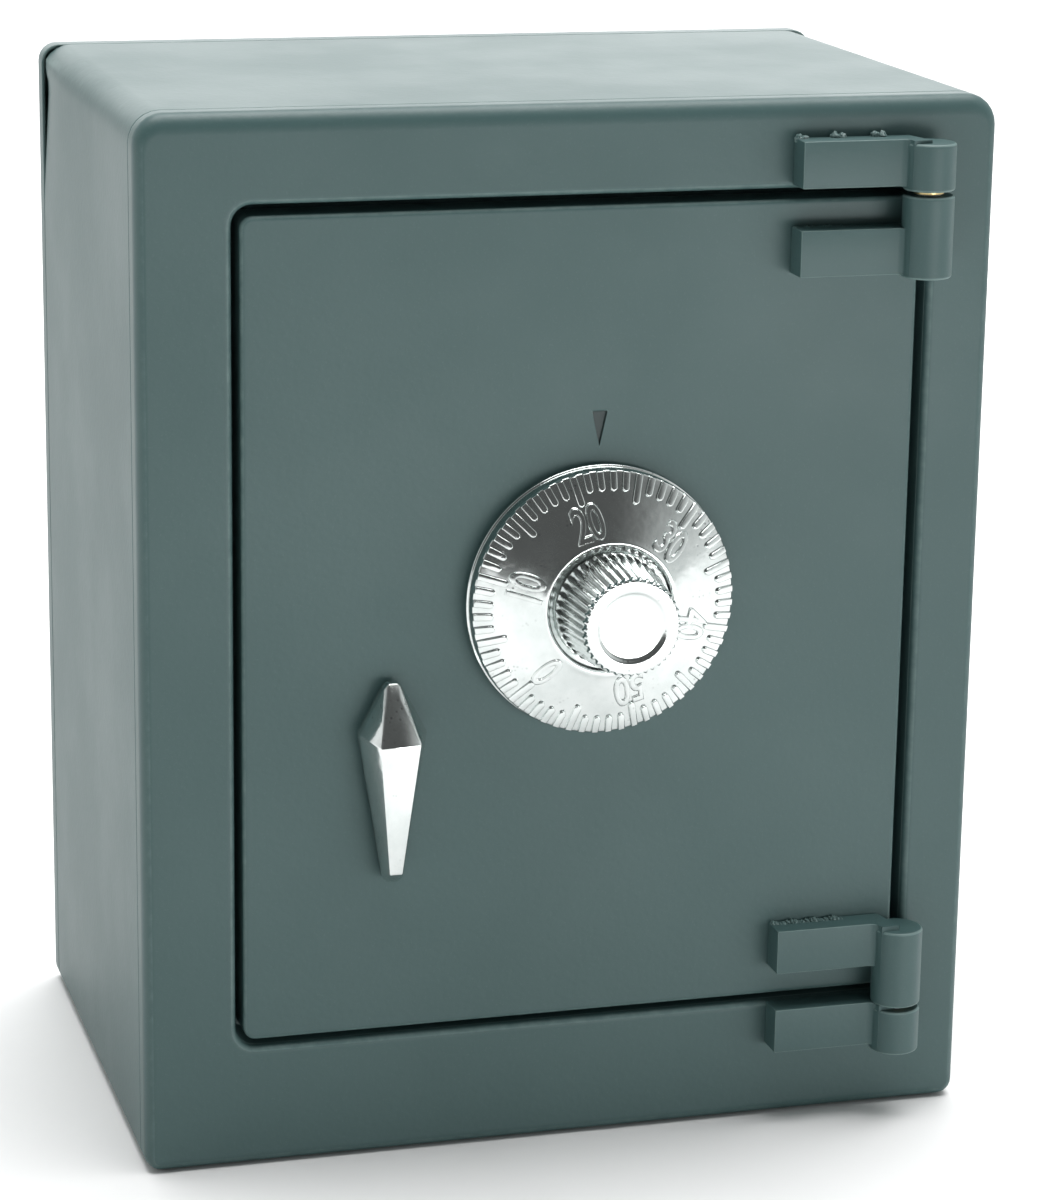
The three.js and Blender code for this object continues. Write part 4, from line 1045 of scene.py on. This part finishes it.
def numberMesh(spec, text, x, z, turn):
    number = bmesh.new()
    for fill, tube in (("BOTH", 0.12), ("NONE", spec["numberOutline"])):   # a low body, a raised outline
        curve = bpy.data.curves.new("number", "FONT")
        curve.body = text
        curve.size = spec["numberSize"]
        curve.align_x = "CENTER"
        curve.align_y = "CENTER"
        curve.fill_mode = fill
        curve.extrude = 0.9 if fill == "BOTH" else 0.0
        curve.bevel_depth = tube
        curve.bevel_resolution = 2
        curve.resolution_u = 6
        curve.space_character = 0.95
        holder = bpy.data.objects.new("number", curve)
        bpy.context.scene.collection.objects.link(holder)
        number.from_mesh(finishedMesh(holder))
        bpy.data.objects.remove(holder)
    bmesh.ops.remove_doubles(number, verts=number.verts, dist=0.001)
    heights = [v.co.y for v in number.verts]
    middle = (max(heights) + min(heights)) / 2
    for v in number.verts:
        across = v.co.x * spec["numberSquash"]
        out = v.co.y - middle + spec["numberRadius"]
        raised = spec["numberHeight"] * (0.35 + v.co.z)
        depth = coneDepth(spec, math.hypot(across, out)) - raised
        v.co = Vector((across, depth, out))
    bmesh.ops.scale(number, vec=(mm,) * 3, verts=number.verts)
    bmesh.ops.rotate(number, matrix=Matrix.Rotation(turn, 3, "Y"), verts=number.verts)
    bmesh.ops.translate(number, vec=(x, frontY, z), verts=number.verts)
    bmesh.ops.recalc_face_normals(number, faces=number.faces)
    return takeMesh(number, "number")


knobSpec = {   # radii and depths in millimetres
    "back": 18.0,
    "front": 15.6,
    "start": -14.3,
    "flutes": 40,
    "fluteDepth": 0.85,
    "face": -37.8,
    "dish": 10.4,
    "dishDepth": 0.9,
}


def makeKnob(spec):
    x, z = frontCentre("dial_knob")
    start, end, dish = spec["start"], spec["face"], spec["dish"]
    profile = [(0, start), (16.4, start), (17.2, start - 0.2), (17.5, start - 0.7)]
    for i in range(13):
        share = i / 12
        radius = spec["back"] - 0.2 + (spec["front"] - spec["back"]) * share
        profile.append((radius, start - 1.4 + (end + 2.2 - start) * share))
    front = spec["front"]
    deep = end + spec["dishDepth"]
    profile += [(front - 0.55, end + 0.35), (front - 1.0, end + 0.08), (front - 1.6, end)]
    profile += [(dish + 1.1, end), (dish + 0.5, end + 0.12), (dish + 0.1, deep - 0.3)]
    profile += [(dish - 0.4, deep - 0.06), (dish - 1.0, deep)]
    profile += [(6, deep - 0.06), (3, deep - 0.12), (0, deep - 0.14)]
    bm = bmesh.new()
    turnedOnY(bm, x, z, [(r * mm, at(d)) for r, d in profile], spec["flutes"] * 8)
    for v in bm.verts:
        out = Vector((v.co.x - x, 0, v.co.z - z))
        depth = (v.co.y - frontY) / mm
        ridge = min(max((start - 0.9 - depth) / 1.2, 0), 1) * min(max((depth - end) / 0.35, 0), 1)
        if out.length > (front - 1.2) * mm and ridge:
            turn = math.atan2(out.z, out.x) * spec["flutes"]
            cut = (0.5 - 0.5 * math.cos(turn)) ** 0.8
            v.co -= out.normalized() * spec["fluteDepth"] * mm * cut * ridge
    return finishPiece(bm, "knob_fluted", "dial", "plated", ["dial_knob"], sharp=60)


handleSpec = {
    "half": 10.7,
    "above": 15.4,
    "below": 48.6,
    "back": -2.5,
    "shoulder": -6.0,
    "ridge": -16.5,
    "soften": 0.35,
    "boss": ((0, -0.3), (7.0, -0.3), (7.5, -0.6), (7.5, -3.0), (0, -3.2)),
}


def makeHandle(spec):
    x, z = frontCentre("handle_spindle")
    half, above, below, ridge = spec["half"], spec["above"], spec["below"], spec["ridge"]
    outline = [(-3.1, above - 1.6), (-1.6, above), (1.6, above), (3.1, above - 1.6), (half, -0.5)]
    outline += [(3.0, 1.2 - below), (1.6, -below), (-1.6, -below), (-3.0, 1.2 - below), (-half, -0.5)]
    crown = [(-6.2, -1.9, ridge), (6.2, -1.5, ridge), (-2.0, 4 - below, -11), (2.0, 4 - below, -11)]
    crown += [(-1.3, above - 4.0, -9.0), (1.3, above - 4.0, -9.0)]
    bm = bmesh.new()
    for px, pz in outline:
        bm.verts.new((x + px * mm, at(spec["back"]), z + pz * mm))
        bm.verts.new((x + px * mm, at(spec["shoulder"]), z + pz * mm))
    for px, pz, depth in crown:
        bm.verts.new((x + px * mm, at(depth), z + pz * mm))
    bmesh.ops.convex_hull(bm, input=bm.verts)
    bmesh.ops.dissolve_limit(bm, angle_limit=math.radians(4), verts=bm.verts, edges=bm.edges)
    sharp = [e for e in bm.edges if e.calc_face_angle(0) > math.radians(9)]
    bevel(bm, sharp, spec["soften"] * mm, 3, "EDGES", clamp_overlap=True)
    boss = bmesh.new()
    turnedOnY(boss, x, z, [(r * mm, at(d)) for r, d in spec["boss"]], 48)
    bmesh.ops.recalc_face_normals(boss, faces=boss.faces)
    bm.from_mesh(takeMesh(boss, "boss"))
    return finishPiece(bm, "handle_grip", "handle", "plated", ["handle_lever"], sharp=50)


makeCase(caseSpec)
makeRearCover(rearSpec)
print("case made")
makeScrews(screwSpec)
makeDoorPlate(doorSpec)
makeDoorBack()
makeSeal()
makeBoltworkCover(coverSpec)
for place in ("upper", "middle", "lower"):
    makeBolt(f"bolt_{place}", f"locking_bolt_{place}", "bolts", "plated", "left", 1.6 * mm)
for place in ("upper", "lower"):
    makeBolt(f"stud_{place}", f"fixed_stud_{place}", "door", "steel", "right", 1.2 * mm)
print("door made")
makeLiner(linerSpec)
refine("jamb_frame", "jamb_ledge", "body", "paint")
for node in hingeLeaves:
    makeHingeLeaf(hingeSpec, node)
for place in ("upper", "lower"):
    makeGapWasher(place)
print("hinges made")
makeDial(dialSpec)
makeKnob(knobSpec)
makeHandle(handleSpec)
print("dial and handle made")

# every CAD node that still shows gets its finish
for item in frame["record"]["materials"]:
    for name in item.get("nodes", []):
        data = frame["nodes"][name].data
        data.materials.clear()
        data.materials.append(materials[item["slot"]])


def makeFloor():
    bm = bmesh.new()
    under = Matrix.Translation((0, 3, -0.2 * mm))
    bmesh.ops.create_grid(bm, x_segments=1, y_segments=1, size=9.0, matrix=under)
    mesh = takeMesh(bm, "floor")
    floor = bpy.data.objects.new("floor", mesh)
    bpy.context.scene.collection.objects.link(floor)
    material, tree, shader = newMaterial("floor card", Specular_IOR_Level=0.15)
    mottle = useGroup(tree, "mottle", Size=6.0, Fine=200.0)
    clouds = mottle.outputs["Clouds"]
    colour = blendColours(tree, clouds, (0.78, 0.78, 0.78, 1), (0.80, 0.80, 0.80, 1))
    feed(tree, shader, **{"Base Color": colour, "Roughness": spread(tree, clouds, 0, 1, 0.75, 0.85)})
    mesh.materials.append(material)


lights = {   # size and place in metres, power in watts
    "low panel": {"place": (0.34, -0.95, 0.08), "size": (0.50, 0.14), "power": 1.9},
    "left panel": {"place": (-1.6, 0.25, 0.75), "size": (1.4, 1.4), "power": 0.7},
    "rear panel": {"place": (0.55, 1.9, 0.80), "size": (2.4, 0.9), "power": 16.0},
}


def makeLights():
    for name, spec in lights.items():
        data = bpy.data.lights.new(name, "AREA")
        data.shape = "RECTANGLE"
        data.size, data.size_y = spec["size"]
        data.energy = spec["power"]
        lamp = bpy.data.objects.new(name, data)
        lamp.location = spec["place"]
        lamp.rotation_euler = (Vector((0, 0, 0.17)) - lamp.location).to_track_quat("-Z", "Y").to_euler()
        bpy.context.scene.collection.objects.link(lamp)
    sun = bpy.data.lights.new("ceiling glow", "SUN")
    sun.energy = 3.9
    sun.angle = math.radians(50)
    lamp = bpy.data.objects.new("ceiling glow", sun)
    lamp.rotation_euler = (math.radians(-6), math.radians(6), 0)
    bpy.context.scene.collection.objects.link(lamp)
    world = bpy.data.worlds.new("studio")
    world.use_nodes = True
    tree = world.node_tree
    where = addNode(tree, "ShaderNodeTexCoord").outputs["Generated"]
    dark = addNode(tree, "ShaderNodeVectorMath", operation="DOT_PRODUCT")
    feed(tree, dark, i0=where, i1=Vector((-0.20, -0.84, 0.50)).normalized())
    level = spread(tree, dark.outputs["Value"], 0.20, 0.90, 0.88, 0.10)
    feed(tree, tree.nodes["Background"], Color=(0.97, 1.0, 0.995, 1), Strength=level)
    bpy.context.scene.world = world


makeFloor()
makeLights()
bpy.context.scene.view_settings.view_transform = "Standard"
print("floor and light set")
